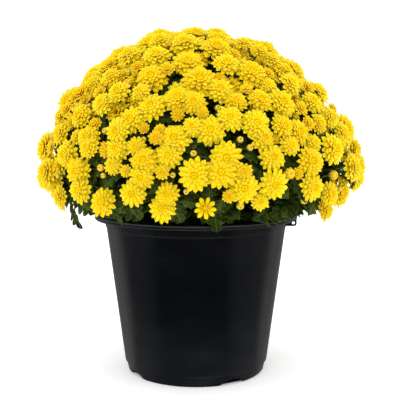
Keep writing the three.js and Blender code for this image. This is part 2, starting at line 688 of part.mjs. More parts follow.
/** The leaves that have room round one stem: the angle and the tip of each. */
function whorlLeaves(stem, centre, ahead, obstacles, draw) {
  const [side, other] = crossAxes(ahead);
  const first = draw(0, 2 * Math.PI);
  const leaves = [];
  for (let i = 0; i < WHORL.leaves; i += 1) {
    const turn = first + (2 * Math.PI * i) / WHORL.leaves;
    const away = side.clone().multiplyScalar(Math.cos(turn)).addScaledVector(other, Math.sin(turn))
      .addScaledVector(ahead, draw(...WHORL.lift)).normalize();
    const tips = WHORL.lengths.map((length) => centre.clone().addScaledVector(away, length));
    const tip = tips.find((end) => (
      isClear(stem, leafSolid({ base: centre, tip: end, face: ahead }), obstacles)));
    if (tip) leaves.push({ turn, tip });
  }
  return leaves;
}

/** A whorl of lobed leaves as one body: each leaf is a fan round its rib, above and below. */
function whorlSolid(centre, ahead, leaves) {
  const [side, other] = crossAxes(ahead);
  const points = [1, -1].map((sign) => (
    centre.clone().addScaledVector(ahead, (sign * WHORL.thickness) / 2)));
  const addPoint = (point) => points.push(point) - 1;
  const valleys = leaves.map(({ turn }, k) => {
    const isLast = k + 1 === leaves.length;
    const between = (turn + (isLast ? leaves[0].turn + 2 * Math.PI : leaves[k + 1].turn)) / 2;
    return addPoint(centre.clone()
      .addScaledVector(side, WHORL.valley * Math.cos(between))
      .addScaledVector(other, WHORL.valley * Math.sin(between)));
  });
  const triangles = [];
  leaves.forEach(({ tip }, k) => {
    const along = tip.clone().sub(centre);
    const length = along.length();
    const across = new THREE.Vector3().crossVectors(ahead, along).normalize();
    const above = new THREE.Vector3().crossVectors(along, across).normalize();
    const spot = (share, out, lift) => addPoint(centre.clone()
      .addScaledVector(along, share)
      .addScaledVector(across, out * length)
      .addScaledVector(above, lift + LEAF.fold * Math.abs(out) * length));
    const edge = [
      valleys.at(k - 1),
      spot(WHORL.notchAt, -WHORL.notchOut, 0),
      spot(WHORL.lobeAt, -WHORL.lobeOut, 0),
      spot(1, 0, 0),
      spot(WHORL.lobeAt, WHORL.lobeOut, 0),
      spot(WHORL.notchAt, WHORL.notchOut, 0),
      valleys[k],
    ];
    const [upper, lower] = [LEAF.ribRise, -LEAF.ribRise].map((lift) => spot(WHORL.crown, 0, lift));
    for (let i = 0; i + 1 < edge.length; i += 1) {
      triangles.push([upper, edge[i], edge[i + 1]], [lower, edge[i + 1], edge[i]]);
    }
    const [first, last] = [edge[0], edge.at(-1)];
    triangles.push([upper, last, 0], [upper, 0, first], [lower, 1, last], [lower, first, 1]);
  });
  return solidFromTriangles(points, triangles);
}

/** Adds the whorl of leaves of one stem, with as many leaves as have room but at least two. */
function addWhorl(stem, obstacles, draw) {
  const centre = stem.collar.clone().lerp(stem.hub, WHORL.place);
  const ahead = stem.hub.clone().sub(stem.collar).normalize();
  const leaves = whorlLeaves(stem, centre, ahead, obstacles, draw);
  while (leaves.length > 1) {
    const solid = whorlSolid(centre, ahead, leaves);
    if (isClear(stem, solid, obstacles)) {
      stem.parts.push(solid);
      obstacles.push({ stem, solid });
      return;
    }
    leaves.pop();
  }
}

// ---- build --------------------------------------------------------------------------------------
const blooms = layBlooms();
for (const bloom of blooms) findWalls(bloom, blooms);
growSprays(blooms);
const stems = layStems(blooms);
const pot = potSolid();
const mix = mixSolid(stems);
const sprays = stems.map((stem) => spraySolid(stem.own));

const obstacles = [pot, mix, ...sprays].map((solid) => ({ stem: null, solid }));
for (const stem of stems) obstacles.push(...stem.parts.map((solid) => ({ stem, solid })));
for (const tip of skirtTips()) addClear(skirtOffers(stems, tip), obstacles);
for (const bud of layBuds(blooms)) addClear(budOffers(stems, bud), obstacles);
const drawLeaf = makeDraws(WHORL.seed);
for (const stem of stems) addWhorl(stem, obstacles, drawLeaf);

const group = new THREE.Group();

/** Adds a solid to the group as a named mesh. */
function addPiece(name, solid, colour, roughness) {
  const { vertProperties, triVerts } = solid.getMesh();
  const geometry = new THREE.BufferGeometry();
  geometry.setAttribute('position', new THREE.BufferAttribute(new Float32Array(vertProperties), 3));
  geometry.setIndex(Array.from(triVerts));
  geometry.computeVertexNormals();
  const material = new THREE.MeshStandardMaterial({
    color: colour, roughness, metalness: 0, flatShading: true,
  });
  const mesh = new THREE.Mesh(geometry, material);
  mesh.name = name;
  group.add(mesh);
}

const numbered = (i) => String(i + 1).padStart(2, '0');
addPiece('pot', pot, '#17181b', 0.42);
addPiece('potting_mix', mix, '#3a281b', 0.95);
stems.forEach((stem, i) => {
  const plant = Manifold.union(stem.parts).simplify(MELD);
  addPiece(`stem_${numbered(i)}`, plant, '#3f5a24', 0.6);
});
sprays.forEach((spray, i) => addPiece(`blooms_${numbered(i)}`, spray, '#f2c800', 0.6));

export default group;
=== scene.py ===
"""A garden chrysanthemum in a black nursery pot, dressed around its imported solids.

The plant is laid out by the same rule as its solids: a dome of blooms shared out among sprays, with
one leafy stem under each spray. Lengths are in millimetres until a mesh is finished in metres.
"""
import logging
import math
from dataclasses import dataclass, field, fields
from enum import Enum
from typing import Iterable, Self, Sequence

import bmesh
import bpy
from mathutils import Matrix, Vector, noise
from mathutils.bvhtree import BVHTree
from mathutils.kdtree import KDTree


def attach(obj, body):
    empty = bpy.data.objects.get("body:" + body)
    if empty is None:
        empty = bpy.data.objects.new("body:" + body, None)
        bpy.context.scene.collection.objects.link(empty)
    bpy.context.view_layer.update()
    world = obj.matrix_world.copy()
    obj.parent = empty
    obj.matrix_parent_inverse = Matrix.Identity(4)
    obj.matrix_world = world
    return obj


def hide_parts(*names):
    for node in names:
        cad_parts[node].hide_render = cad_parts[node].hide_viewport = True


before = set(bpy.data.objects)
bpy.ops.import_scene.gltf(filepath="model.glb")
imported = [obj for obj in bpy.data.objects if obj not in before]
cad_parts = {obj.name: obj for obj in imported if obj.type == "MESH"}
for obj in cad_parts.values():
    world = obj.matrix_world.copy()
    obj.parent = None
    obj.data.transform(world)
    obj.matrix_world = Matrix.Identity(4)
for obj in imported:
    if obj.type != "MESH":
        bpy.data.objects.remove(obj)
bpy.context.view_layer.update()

log = logging.getLogger("chrysanthemum")

MM = 0.001
TAU = 2 * math.pi
UP = Vector((0, 0, 1))
GOLDEN_ANGLE = 137.50776
BODY = "root"
WHITE = "#ffffff"
NEAR_UPRIGHT = 0.9  # the cosine from which an axis counts as upright
MERGE_DISTANCE = 0.01
CORNER_SLACK = 0.6  # how far off a corner of a solid may be and still be the one looked for
SPRAY_SEED = 100
STEM_SEED = 300

# Blooms on the front: azimuth from the front, angle down from the top, diameter.
FRONT_BLOOMS = [
    (62, 11, 28), (-27, 26, 25), (-6, 27, 33), (43, 27, 19), (16, 31, 32), (48, 33, 21), (-41, 36, 25),
    (-22, 36, 30), (52, 37, 21), (-53, 40, 17), (-3, 40, 31), (-30, 42, 14), (16, 42, 27), (54, 43, 23),
    (-13, 44, 18), (38, 45, 14), (27, 46, 31), (-43, 47, 22), (-20, 47, 33), (2, 49, 35), (-54, 50, 20),
    (32, 51, 22), (45, 51, 24), (59, 52, 17), (10, 53, 29), (-56, 55, 18), (-32, 55, 25), (-22, 55, 19),
    (-58, 57, 14), (-7, 57, 30), (15, 58, 23), (25, 58, 25), (55, 58, 24), (-39, 59, 25), (-1, 59, 24),
    (34, 59, 31), (-17, 60, 30), (43, 61, 16), (81, 61, 15), (-60, 62, 18), (-49, 64, 26), (-63, 65, 17),
    (-24, 65, 28), (11, 65, 26), (60, 65, 23), (-40, 67, 16), (20, 67, 30), (50, 67, 22), (-2, 68, 19),
    (30, 68, 25), (-13, 69, 13), (4, 69, 30), (-28, 70, 25), (37, 70, 29), (-60, 71, 25), (66, 71, 23),
    (-41, 72, 27), (-14, 72, 15), (-8, 72, 31), (22, 72, 26), (63, 74, 19), (-21, 75, 19), (31, 75, 21),
    (-39, 76, 23), (-28, 76, 26), (-69, 77, 15), (51, 77, 32), (-10, 78, 26), (-51, 79, 28), (8, 79, 31),
    (24, 79, 26), (85, 79, 27), (-18, 80, 28), (38, 81, 29), (-29, 82, 19), (-24, 84, 13), (-12, 84, 15),
    (6, 84, 31), (13, 84, 18), (-44, 85, 29), (-2, 85, 31), (66, 85, 29), (-19, 86, 24), (-70, 87, 30),
    (23, 89, 28), (13, 90, 30), (38, 92, 27), (-43, 95, 27), (-22, 95, 26), (-11, 96, 23), (8, 96, 13),
    (49, 100, 24), (19, 102, 19), (-34, 103, 29), (1, 103, 19), (-62, 105, 23), (-13, 107, 26), (53, 114, 24),
]
STAR_BLOOM = 94  # the one that has opened with a single row of petals
BEARER_SHARES = [0.1 * step for step in range(1, 10)]  # where along a stalk leaves and buds may leave it
# Small late blooms between those of the front, in the same measures.
FRONT_LATE = [
    (-53, 57, 16), (-46, 53, 16), (-56, 66, 16), (-48, 72, 17), (-33, 76, 18), (43, 67, 17), (43, 74, 20),
    (-7, 63, 14), (2, 63, 13), (29, 32, 15), (21, 53, 14), (-38, 44, 14), (11, 47, 16), (33, 85, 13),
    (-19, 68, 12), (27, 72, 12), (-75, 111, 14),
]
FRONT_BUDS = [
    (13, 12, 12), (-12, 14, 10), (12, 23, 6), (-37, 29, 6), (-36, 43, 6), (-32, 49, 10), (-49, 59, 6),
    (8, 60, 7), (-12, 63, 11), (-32, 66, 6), (-35, 69, 7), (-19, 72, 6), (14, 72, 7), (17, 75, 7),
    (-2, 77, 7), (-35, 83, 8), (-9, 85, 6), (30, 85, 12), (-34, 86, 6), (52, 87, 10), (-61, 88, 6),
    (-16, 88, 6), (-36, 93, 8), (-5, 94, 6), (58, 99, 6), (-2, 101, 6), (38, 106, 8), (-27, 107, 5),
    (13, 108, 8),
]
# Leaves that hang over the rim: azimuth, radius and height of the tip.
FRONT_SKIRT = [
    (-90, 148, 187), (-88, 137, 182), (-85, 128, 162), (-58, 124, 186), (-39, 121, 178), (-28, 118, 184),
    (-7, 119, 183), (10, 119, 173), (18, 118, 182), (39, 118, 183), (68, 118, 182), (75, 128, 183),
    (85, 156, 196), (88, 169, 198),
]


# ---- small helpers ------------------------------------------------------------------------------
class Draws:
    """A seeded source of numbers, so that every run is the same."""

    FACTOR = 1664525
    STEP = 1013904223
    SPAN = 2 ** 32

    def __init__(self, seed: int) -> None:
        """Starts the source.

        Args:
            seed: the whole number that the draws follow from.
        """
        self.state = seed

    def __call__(self, low: float, high: float) -> float:
        """Returns the next number between low and high."""
        self.state = (self.state * self.FACTOR + self.STEP) % self.SPAN
        return low + (high - low) * (self.state / self.SPAN)


def cross_axes(axis: Vector) -> tuple[Vector, Vector]:
    """Two directions square to an axis and to each other.

    Args:
        axis: a unit direction.

    Returns:
        The two directions, which turn right-handed round the axis.
    """
    helper = UP if abs(axis.z) < NEAR_UPRIGHT else Vector((1, 0, 0))
    side = helper.cross(axis).normalized()
    return side, axis.cross(side)


def linear(hex_colour: str) -> tuple[float, float, float, float]:
    """Turns an sRGB hex colour such as "#ffcc00" into linear red, green, blue and alpha."""
    channels = [int(hex_colour[i:i + 2], 16) / 255 for i in (1, 3, 5)]
    red, green, blue = [c / 12.92 if c <= 0.04045 else ((c + 0.055) / 1.055) ** 2.4 for c in channels]
    return red, green, blue, 1.0


def finish_mesh(
    bm: bmesh.types.BMesh, name: str, materials: Sequence[bpy.types.Material],
) -> bpy.types.Object:
    """Turns a bmesh in millimetres into a smooth object in metres that stands at the origin.

    Args:
        bm: the shape, which is freed.
        name: the piece's name.
        materials: its finishes, in the order of the faces' material numbers.

    Returns:
        The new object, linked to the scene.
    """
    bmesh.ops.scale(bm, vec=(MM, MM, MM), verts=bm.verts[:])
    for face in bm.faces:
        face.smooth = True
    mesh = bpy.data.meshes.new(name)
    bm.to_mesh(mesh)
    bm.free()
    for material in materials:
        mesh.materials.append(material)
    piece = bpy.data.objects.new(name, mesh)
    bpy.context.scene.collection.objects.link(piece)
    return piece


def stand_for(piece: bpy.types.Object, node: str) -> None:
    """Puts a piece in place of a node: it rides on the one body, and the node is hidden."""
    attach(piece, BODY)
    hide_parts(node)
    log.info("%s replaces %s: %d faces", piece.name, node, len(piece.data.polygons))


def turn_shape(bm: bmesh.types.BMesh, degrees: float, axis: str = "Z") -> None:
    """Turns a whole shape about an axis through the origin."""
    matrix = Matrix.Rotation(math.radians(degrees), 3, axis)
    bmesh.ops.rotate(bm, cent=(0, 0, 0), matrix=matrix, verts=bm.verts[:])


def spin_section(section: Sequence[tuple[float, float]], steps: int) -> bmesh.types.BMesh:
    """Spins a section round the upright axis.

    Args:
        section: radius and height of each corner in turn.
        steps: how many flat sides go round.

    Returns:
        The shape.
    """
    bm = bmesh.new()
    corners = [bm.verts.new((radius, 0, height)) for radius, height in section]
    edges = [bm.edges.new(pair) for pair in zip(corners, corners[1:])]
    bmesh.ops.spin(
        bm, geom=corners + edges, cent=(0, 0, 0), axis=(0, 0, 1), angle=TAU, steps=steps, use_merge=True,
    )
    bmesh.ops.remove_doubles(bm, verts=bm.verts[:], dist=MERGE_DISTANCE)
    bmesh.ops.recalc_face_normals(bm, faces=bm.faces[:])
    return bm


def lying_bar(radius: float, length: float, sides: int) -> bmesh.types.BMesh:
    """A round bar along the Y axis, centred on the origin."""
    bm = bmesh.new()
    bmesh.ops.create_cone(
        bm, cap_ends=True, segments=sides, radius1=radius, radius2=radius, depth=length,
    )
    turn_shape(bm, 90, "X")
    return bm


@dataclass(frozen=True)
class Layers:
    """Numbers that each corner of a shape stores for its finishes, one layer for each field."""

    @classmethod
    def on(cls, bm: bmesh.types.BMesh) -> Self:
        """Adds the layers to a bmesh."""
        names = [item.name for item in fields(cls)]
        layer = bm.verts.layers.float
        for name in names:
            layer.new(name)
        return cls(*(layer[name] for name in names))


# ---- finishes -----------------------------------------------------------------------------------
class Shader:
    """A material under construction, with one function that adds a node."""

    def __init__(self, name: str) -> None:
        """Starts an empty node material.

        Args:
            name: what the finish is called.
        """
        self.material = bpy.data.materials.new(name)
        self.material.use_nodes = True
        self.tree = self.material.node_tree
        self.tree.nodes.clear()
        self.surface = self.add("ShaderNodeBsdfPrincipled")
        self.add("ShaderNodeOutputMaterial", links={"Surface": self.surface.outputs[0]})

    def add(
        self, kind: str, values: dict | None = None, links: dict | None = None, **settings: object,
    ) -> bpy.types.Node:
        """Adds a node with its settings and links.

        Args:
            kind: the node's type name.
            values: constants for its sockets, by socket name or number.
            links: outputs that feed its sockets, by socket name or number.
            **settings: properties of the node itself.

        Returns:
            The new node.
        """
        node = self.tree.nodes.new(kind)
        for key, value in settings.items():
            setattr(node, key, value)
        for key, value in (values or {}).items():
            node.inputs[key].default_value = value
        for key, output in (links or {}).items():
            self.tree.links.new(output, node.inputs[key])
        return node

    def ramp(
        self, factor: bpy.types.NodeSocket, stops: Iterable[tuple[float, str | float]],
    ) -> bpy.types.NodeSocket:
        """Adds a ramp of colours or of amounts.

        Args:
            factor: what the ramp reads.
            stops: places in order, each with an sRGB hex colour or an amount between 0 and 1.

        Returns:
            The ramp's colour output.
        """
        node = self.add("ShaderNodeValToRGB", links={"Fac": factor})
        elements = node.color_ramp.elements
        for i, (place, value) in enumerate(stops):
            element = elements[i] if i < len(elements) else elements.new(place)
            element.position = place
            element.color = linear(value) if isinstance(value, str) else (value, value, value, 1)
        return node.outputs["Color"]

    def mix(
        self, factor: object, first: bpy.types.NodeSocket, second: object, blend: str = "MIX",
    ) -> bpy.types.NodeSocket:
        """Mixes two colours.

        Args:
            factor: a number or an output.
            first: the colour below.
            second: the colour above, as an output or a linear colour.
            blend: how the two are combined.

        Returns:
            The mixed colour output.
        """
        node = self.add("ShaderNodeMix", data_type="RGBA", blend_type=blend)
        for socket, value in ((node.inputs[0], factor), (node.inputs[6], first), (node.inputs[7], second)):
            if isinstance(value, bpy.types.NodeSocket):
                self.tree.links.new(value, socket)
            else:
                socket.default_value = value
        return node.outputs[2]

    def stain(
        self, colour: bpy.types.NodeSocket, pattern: bpy.types.NodeSocket, dark: str,
        full: float, gone: float,
    ) -> bpy.types.NodeSocket:
        """Darkens a colour where a pattern is low.

        Args:
            colour: the clean colour.
            pattern: what the stain follows.
            dark: the sRGB hex colour that the clean one is multiplied by.
            full: the pattern's value at which the stain is full.
            gone: its value at which the colour is clean.

        Returns:
            The stained colour output.
        """
        return self.mix(1.0, colour, self.ramp(pattern, [(full, dark), (gone, WHITE)]), "MULTIPLY")

    def place(self) -> bpy.types.NodeSocket:
        """Reads Object coordinates."""
        return self.add("ShaderNodeTexCoord").outputs["Object"]

    def height(self, place: bpy.types.NodeSocket) -> bpy.types.NodeSocket:
        """Reads how high a place is, in metres."""
        return self.add("ShaderNodeSeparateXYZ", links={"Vector": place}).outputs["Z"]

    def noise(self, size_mm: float, detail: float = 2.0) -> bpy.types.NodeSocket:
        """Adds noise on Object coordinates.

        Args:
            size_mm: how large one blotch is.
            detail: how many finer layers it has.

        Returns:
            The noise value output.
        """
        return self.add(
            "ShaderNodeTexNoise", values={"Scale": 1 / (size_mm * MM), "Detail": detail},
            links={"Vector": self.place()},
        ).outputs["Fac"]

    def attribute(self, name: str) -> bpy.types.NodeSocket:
        """Reads a number that is stored on the mesh."""
        return self.add("ShaderNodeAttribute", attribute_name=name).outputs["Fac"]

    def math(self, operation: str, *terms: object) -> bpy.types.NodeSocket:
        """Combines outputs and numbers, and keeps the result between 0 and 1 where it is a MULTIPLY_ADD.

        Args:
            operation: the name of the sum.
            *terms: its outputs and numbers, in order.

        Returns:
            The result's output.
        """
        node = self.add("ShaderNodeMath", operation=operation, use_clamp=operation == "MULTIPLY_ADD")
        for socket, term in zip(node.inputs, terms):
            if isinstance(term, bpy.types.NodeSocket):
                self.tree.links.new(term, socket)
            else:
                socket.default_value = term
        return node.outputs[0]

    def bump(self, height: bpy.types.NodeSocket, strength: float, depth_mm: float) -> None:
        """Raises the surface by a height pattern.

        Args:
            height: the pattern.
            strength: how much of it shows.
            depth_mm: how deep it is.
        """
        node = self.add(
            "ShaderNodeBump", values={"Strength": strength, "Distance": depth_mm * MM},
            links={"Height": height},
        )
        self.tree.links.new(node.outputs["Normal"], self.surface.inputs["Normal"])

    def set(self, **values: object) -> None:
        """Sets the surface's sockets, named with _ for spaces, to constants or outputs."""
        for key, value in values.items():
            socket = self.surface.inputs[key.replace("_", " ")]
            if isinstance(value, bpy.types.NodeSocket):
                self.tree.links.new(value, socket)
            else:
                socket.default_value = value


@dataclass(frozen=True)
class PetalFinish:
    """Chrysanthemum ray petals: waxy, finely ribbed along their length, and lit through."""

    root: str = "#c88200"
    body: str = "#f2c000"
    blade: str = "#f8da00"
    tip: str = "#fff3a0"
    # the heart's deeper gold, which on the button is painted shade
    deep: str = "#b86800"
    ripe: str = "#f4be00"
    # colour of the painted shade in the rib grooves
    groove_shade: str = "#ecb600"
    dull: str = "#f0f0f0"
    ribs: float = 3.0
    groove_shade_fade: tuple[float, float] = (-0.3, 0.1)
    rim_power: float = 3.0
    pale_rim: float = 0.12

    def make(self) -> bpy.types.Material:
        """The colour deepens from the pale tip to the root, and from the outer rows to the heart. On the
        button the deep colour is painted shade, down its sides and in its dimple.
        """
        shader = Shader("chrysanthemum_petal")
        along = shader.attribute("along")
        colour = shader.ramp(along, [
            (0.0, self.root), (0.3, self.body), (0.55, self.blade), (0.85, self.blade), (1.0, self.tip),
        ])
        colour = shader.mix(shader.attribute("tone"), colour, linear(self.ripe))
        across = shader.attribute("across")
        ribs = shader.math("COSINE", shader.math("MULTIPLY", across, self.ribs * math.pi))
        # deeper gold painted into the rib grooves as shade, where the bump sinks
        groove_shade = shader.math("MULTIPLY_ADD", ribs, *self.groove_shade_fade)
        colour = shader.mix(groove_shade, colour, linear(self.groove_shade))
        rim = shader.math("POWER", shader.math("ABSOLUTE", across), self.rim_power)
        pale = shader.math("MULTIPLY", shader.math("MULTIPLY", rim, along), self.pale_rim)
        colour = shader.mix(pale, colour, linear(self.tip))
        # deeper gold towards the heart, and painted shade on the button's sides and in its dimple
        colour = shader.mix(shader.attribute("heart"), colour, linear(self.deep))
        colour = shader.stain(colour, shader.noise(size_mm=9.0), self.dull, full=0.3, gone=0.7)
        shader.set(
            Base_Color=colour, Roughness=0.6, IOR=1.4, Specular_IOR_Level=0.03, Subsurface_Weight=0.4,
            Subsurface_Scale=0.003, Subsurface_Radius=(1.0, 0.75, 0.1),
        )
        relief = shader.math("ADD", ribs, shader.noise(size_mm=1.2))
        shader.bump(relief, strength=0.25, depth_mm=0.15)
        return shader.material


@dataclass(frozen=True)
class LeafFinish:
    """Chrysanthemum leaf: matte, downy, dark green above, with paler veins and edges."""

    blade: str = "#3a500a"
    edge: str = "#60761a"
    vein: str = "#7b8d38"
    dark: str = "#8c9878"
    side_veins: float = 6.0
    vein_sweep: float = 0.13
    vein_strength: float = 0.45
    side_fade: tuple[float, float] = (-9.0, 0.75)
    rib_fade: tuple[float, float] = (-8.0, 1.0)

    def make(self) -> bpy.types.Material:
        """The down dulls the shine. A pale rib and forward-swept side veins stand in the blade."""
        shader = Shader("chrysanthemum_leaf")
        across = shader.attribute("across")
        colour = shader.ramp(across, [(0.0, self.blade), (0.8, self.blade), (1.0, self.edge)])
        colour = shader.stain(colour, shader.noise(size_mm=14.0), self.dark, full=0.35, gone=0.65)
        along = shader.attribute("along")
        swept = shader.math("SUBTRACT", along, shader.math("MULTIPLY", across, self.vein_sweep))
        wave = shader.math("PINGPONG", shader.math("MULTIPLY", swept, self.side_veins), 0.5)
        side = shader.math("MULTIPLY_ADD", wave, *self.side_fade)
        rib = shader.math("MULTIPLY_ADD", across, *self.rib_fade)
        veins = shader.math("MAXIMUM", rib, side)
        strength = shader.math("MULTIPLY", veins, self.vein_strength)
        colour = shader.mix(strength, colour, linear(self.vein))
        shader.set(
            Base_Color=colour, Roughness=0.6, IOR=1.42, Specular_IOR_Level=0.25, Subsurface_Weight=0.05,
            Subsurface_Scale=0.001,
        )
        relief = shader.math("SUBTRACT", shader.noise(size_mm=1.6), veins)
        shader.bump(relief, strength=0.4, depth_mm=0.3)
        return shader.material


@dataclass(frozen=True)
class StalkFinish:
    """Soft green stalk: faintly ribbed and downy, greyer where it is old."""

    young: str = "#54702c"
    old: str = "#33431c"

    def make(self) -> bpy.types.Material:
        """Blotches of the two greens run along the stalks."""
        shader = Shader("chrysanthemum_stalk")
        colour = shader.ramp(shader.noise(size_mm=18.0), [(0.35, self.old), (0.65, self.young)])
        shader.set(Base_Color=colour, Roughness=0.6, IOR=1.42, Specular_IOR_Level=0.3)
        shader.bump(shader.noise(size_mm=0.9), strength=0.3, depth_mm=0.15)
        return shader.material


@dataclass(frozen=True)
class BudFinish:
    """Closed bud: packed petal tips, greenish at the seat and yellow at the top."""

    seat: str = "#5c7420"
    side: str = "#a9a233"
    crown: str = "#e6ca40"
    # the brown eye: painted shade in the dimple
    eye: str = "#7a4400"
    # painted shade in the grooves between the packed petals
    seam_shade: str = "#94700c"
    ripe: str = "#f2c200"
    seam_shade_strength: float = 0.5

    def make(self) -> bpy.types.Material:
        """The colour climbs from the green seat to the crown, with a brown eye painted as shade in the
        dimple. Large buds are yellow.
        """
        shader = Shader("chrysanthemum_bud")
        colour = shader.ramp(shader.attribute("along"), [
            (0.0, self.seat), (0.3, self.side), (0.7, self.crown), (0.82, self.crown), (1.0, self.eye),
        ])
        colour = shader.mix(shader.attribute("ripe"), colour, linear(self.ripe))
        # darker colour painted into the grooves between the packed petals as shade
        seam_shade = shader.math("MULTIPLY", shader.attribute("across"), self.seam_shade_strength)
        colour = shader.mix(seam_shade, colour, linear(self.seam_shade))
        shader.set(
            Base_Color=colour, Roughness=0.5, IOR=1.4, Specular_IOR_Level=0.3, Subsurface_Weight=0.15,
            Subsurface_Scale=0.001,
        )
        shader.bump(shader.noise(size_mm=0.8), strength=0.4, depth_mm=0.2)
        return shader.material


@dataclass(frozen=True)
class PotPlastic:
    """Injection-moulded black polypropylene: semi-gloss and scuffed.

    How grey the plastic is at each height: the thin bands at the foot step, the collar step, the lip and the
    rim's top edge are painted highlight lines, and the foot is greyer.
    """

    black: str = "#05070b"
    scuffed: str = "#07090e"
    # grey of the painted highlight lines and of the greyer foot
    highlight_and_foot_grey: str = "#5a5c60"
    streak_scale: float = 22.0
    streak_stretch: tuple[float, float, float] = (1, 1, 2)
    least_highlight_and_foot_grey: float = 0.25
    roughness: tuple[float, float] = (0.2, 0.32)
    # height in mm and share of grey: the thin peaks are painted highlight lines on the edges, the low heights
    # grey the foot
    highlight_lines_and_foot_grey: tuple[tuple[float, float], ...] = (
        (0, 0.12), (10.4, 0.09), (11.7, 0.26), (13, 0.08), (50, 0.05), (75, 0.012), (110, 0), (163.4, 0.02),
        (164.6, 0.16), (165.8, 0.03), (172.4, 0.02), (173.6, 0.24), (174.8, 0.24), (175.3, 0.03),
        (176.8, 0.04), (177.3, 1.0),
    )

    def make(self) -> bpy.types.Material:
        """The sheen breaks up softly where the wall is scuffed. The foot is greyer, and painted highlight
        lines run along every ledge and the rim's top edge.
        """
        shader = Shader("black_polypropylene")
        place = shader.place()
        stretched = shader.add(
            "ShaderNodeMapping", values={"Scale": self.streak_stretch}, links={"Vector": place},
        )
        streaks = shader.add(
            "ShaderNodeTexNoise", values={"Scale": self.streak_scale, "Detail": 1.0},
            links={"Vector": stretched.outputs[0]},
        ).outputs["Fac"]
        share = shader.math("MULTIPLY", shader.height(place), 1 / (NurseryPot.height * MM))
        # painted highlight lines on the edges and a greyer foot, broken up by the streaks
        highlight_lines_and_foot_grey = shader.ramp(share, [(z / NurseryPot.height, amount) for z, amount in self.highlight_lines_and_foot_grey])
        highlight_lines_and_foot_grey = shader.math("MULTIPLY", highlight_lines_and_foot_grey, shader.math("ADD", streaks, self.least_highlight_and_foot_grey))
        black = shader.ramp(streaks, [(0.3, self.black), (0.7, self.scuffed)])
        colour = shader.mix(highlight_lines_and_foot_grey, black, linear(self.highlight_and_foot_grey))
        smoothest, roughest = self.roughness
        roughness = shader.add(
            "ShaderNodeMapRange", values={"To Min": smoothest, "To Max": roughest}, links={"Value": streaks},
        ).outputs[0]
        shader.set(Base_Color=colour, Roughness=roughness, IOR=1.49)
        shader.bump(shader.noise(size_mm=6.0), strength=0.08, depth_mm=0.1)
        return shader.material


@dataclass(frozen=True)
class PottingMixFinish:
    """Moist peat and bark: dark crumbs with paler fibres."""

    wet: str = "#1a110b"
    dry: str = "#5a4331"
    soaked: str = "#303030"
    drying: float = 6.0  # how fast it dries with height, a metre

    def make(self) -> bpy.types.Material:
        """Crumb-sized speckle from wet to dry, with a rough, dull surface. The foot is soaked."""
        shader = Shader("moist_potting_mix")
        crumbs = shader.noise(size_mm=2.5, detail=5.0)
        colour = shader.ramp(crumbs, [(0.35, self.wet), (0.7, self.dry)])
        dryness = shader.math("MULTIPLY", shader.height(shader.place()), self.drying)
        colour = shader.stain(colour, dryness, self.soaked, full=0.1, gone=0.6)
        shader.set(Base_Color=colour, Roughness=0.92, IOR=1.45)
        shader.bump(shader.noise(size_mm=1.5, detail=4.0), strength=0.9, depth_mm=1.2)
        return shader.material


@dataclass(frozen=True)
class PaperFinish:
    """Matte white backdrop paper under the plant, with a faint glow."""

    white: str = "#fbfbfb"
    fibre: str = WHITE
    glow: float = 0.2

    def make(self) -> bpy.types.Material:
        """Paper's very faint mottle. The glow keeps the ground white, and isn't sampled as a lamp."""
        shader = Shader("backdrop_paper")
        colour = shader.ramp(shader.noise(size_mm=60.0), [(0.3, self.white), (0.7, self.fibre)])
        shader.set(
            Base_Color=colour, Roughness=0.95, IOR=1.45, Emission_Color=colour,
            Emission_Strength=self.glow,
        )
        shader.material.cycles.emission_sampling = "NONE"
        return shader.material


# ---- where everything stands --------------------------------------------------------------------
class BloomForm(Enum):
    """How far a bloom has opened."""

    FULL = "full"
    HALF_OPEN = "half_open"
    STAR = "star"
    HIDDEN = "hidden"


@dataclass
class Bloom:
    """One flower head: its centre, the way it faces, its radius and how far it is open."""

    place: Vector
    axis: Vector
    radius: float
    form: BloomForm
    spray: int = -1


@dataclass(frozen=True)
class Bud:
    """One bud: its centre, direction and radius."""

    place: Vector
    axis: Vector
    radius: float


@dataclass(frozen=True)
class Dome:
    """The rounded dome that the blooms sit on."""

    radius: float = 173.5
    rise: float = 157.5
    drop: float = 72
    level: float = 222
    shift: float = 5.6
    lean: float = -0.065
    fullness: float = 1.05
    leaf_shares: tuple[float, float] = (1.0, 0.88)
    leaf_band: float = 90

    def spot(self, azimuth: float, polar: float) -> tuple[Vector, Vector]:
        """A point of the dome.

        Args:
            azimuth: degrees round from the front.
            polar: degrees down from the top.

        Returns:
            The point and the outward direction there.
        """
        across = math.sin(math.radians(polar))
        along = math.cos(math.radians(polar))
        tall = self.rise if along > 0 else self.drop
        reach = self.radius * across ** self.fullness
        height = tall * math.copysign(abs(along) ** self.fullness, along)
        turn = math.radians(azimuth)
        axis_x = self.shift + self.lean * max(height, 0)
        place = Vector((axis_x + reach * math.sin(turn), -reach * math.cos(turn), self.level + height))
        outward = across / self.radius
        facing = Vector((outward * math.sin(turn), -outward * math.cos(turn), along / tall))
        return place, facing.normalized()

    def tuck_under(self, place: Vector) -> Vector:
        """Draws a point in until it lies well under the blooms, or level with them below the widest part."""
        offset = place - Vector((self.shift, 0, self.level))
        tall = self.rise if offset.z > 0 else self.drop
        size = math.hypot(offset.x / self.radius, offset.y / self.radius, offset.z / tall)
        low, high = self.leaf_shares
        share = low + (high - low) * min(1.0, max(0.0, offset.z / self.leaf_band))
        return place - offset * max(0.0, 1 - share / size)


@dataclass
class Stem:
    """The path of one main stem and the points that its leaves and buds leave from."""

    root: Vector
    collar: Vector
    hub: Vector
    blooms: list[Bloom]
    carriers: list[tuple[Vector, Vector]] = field(default_factory=list)
    buds: list[tuple[Bud, Vector]] = field(default_factory=list)
    leaves: list[tuple[Vector, Vector, Vector]] = field(default_factory=list)


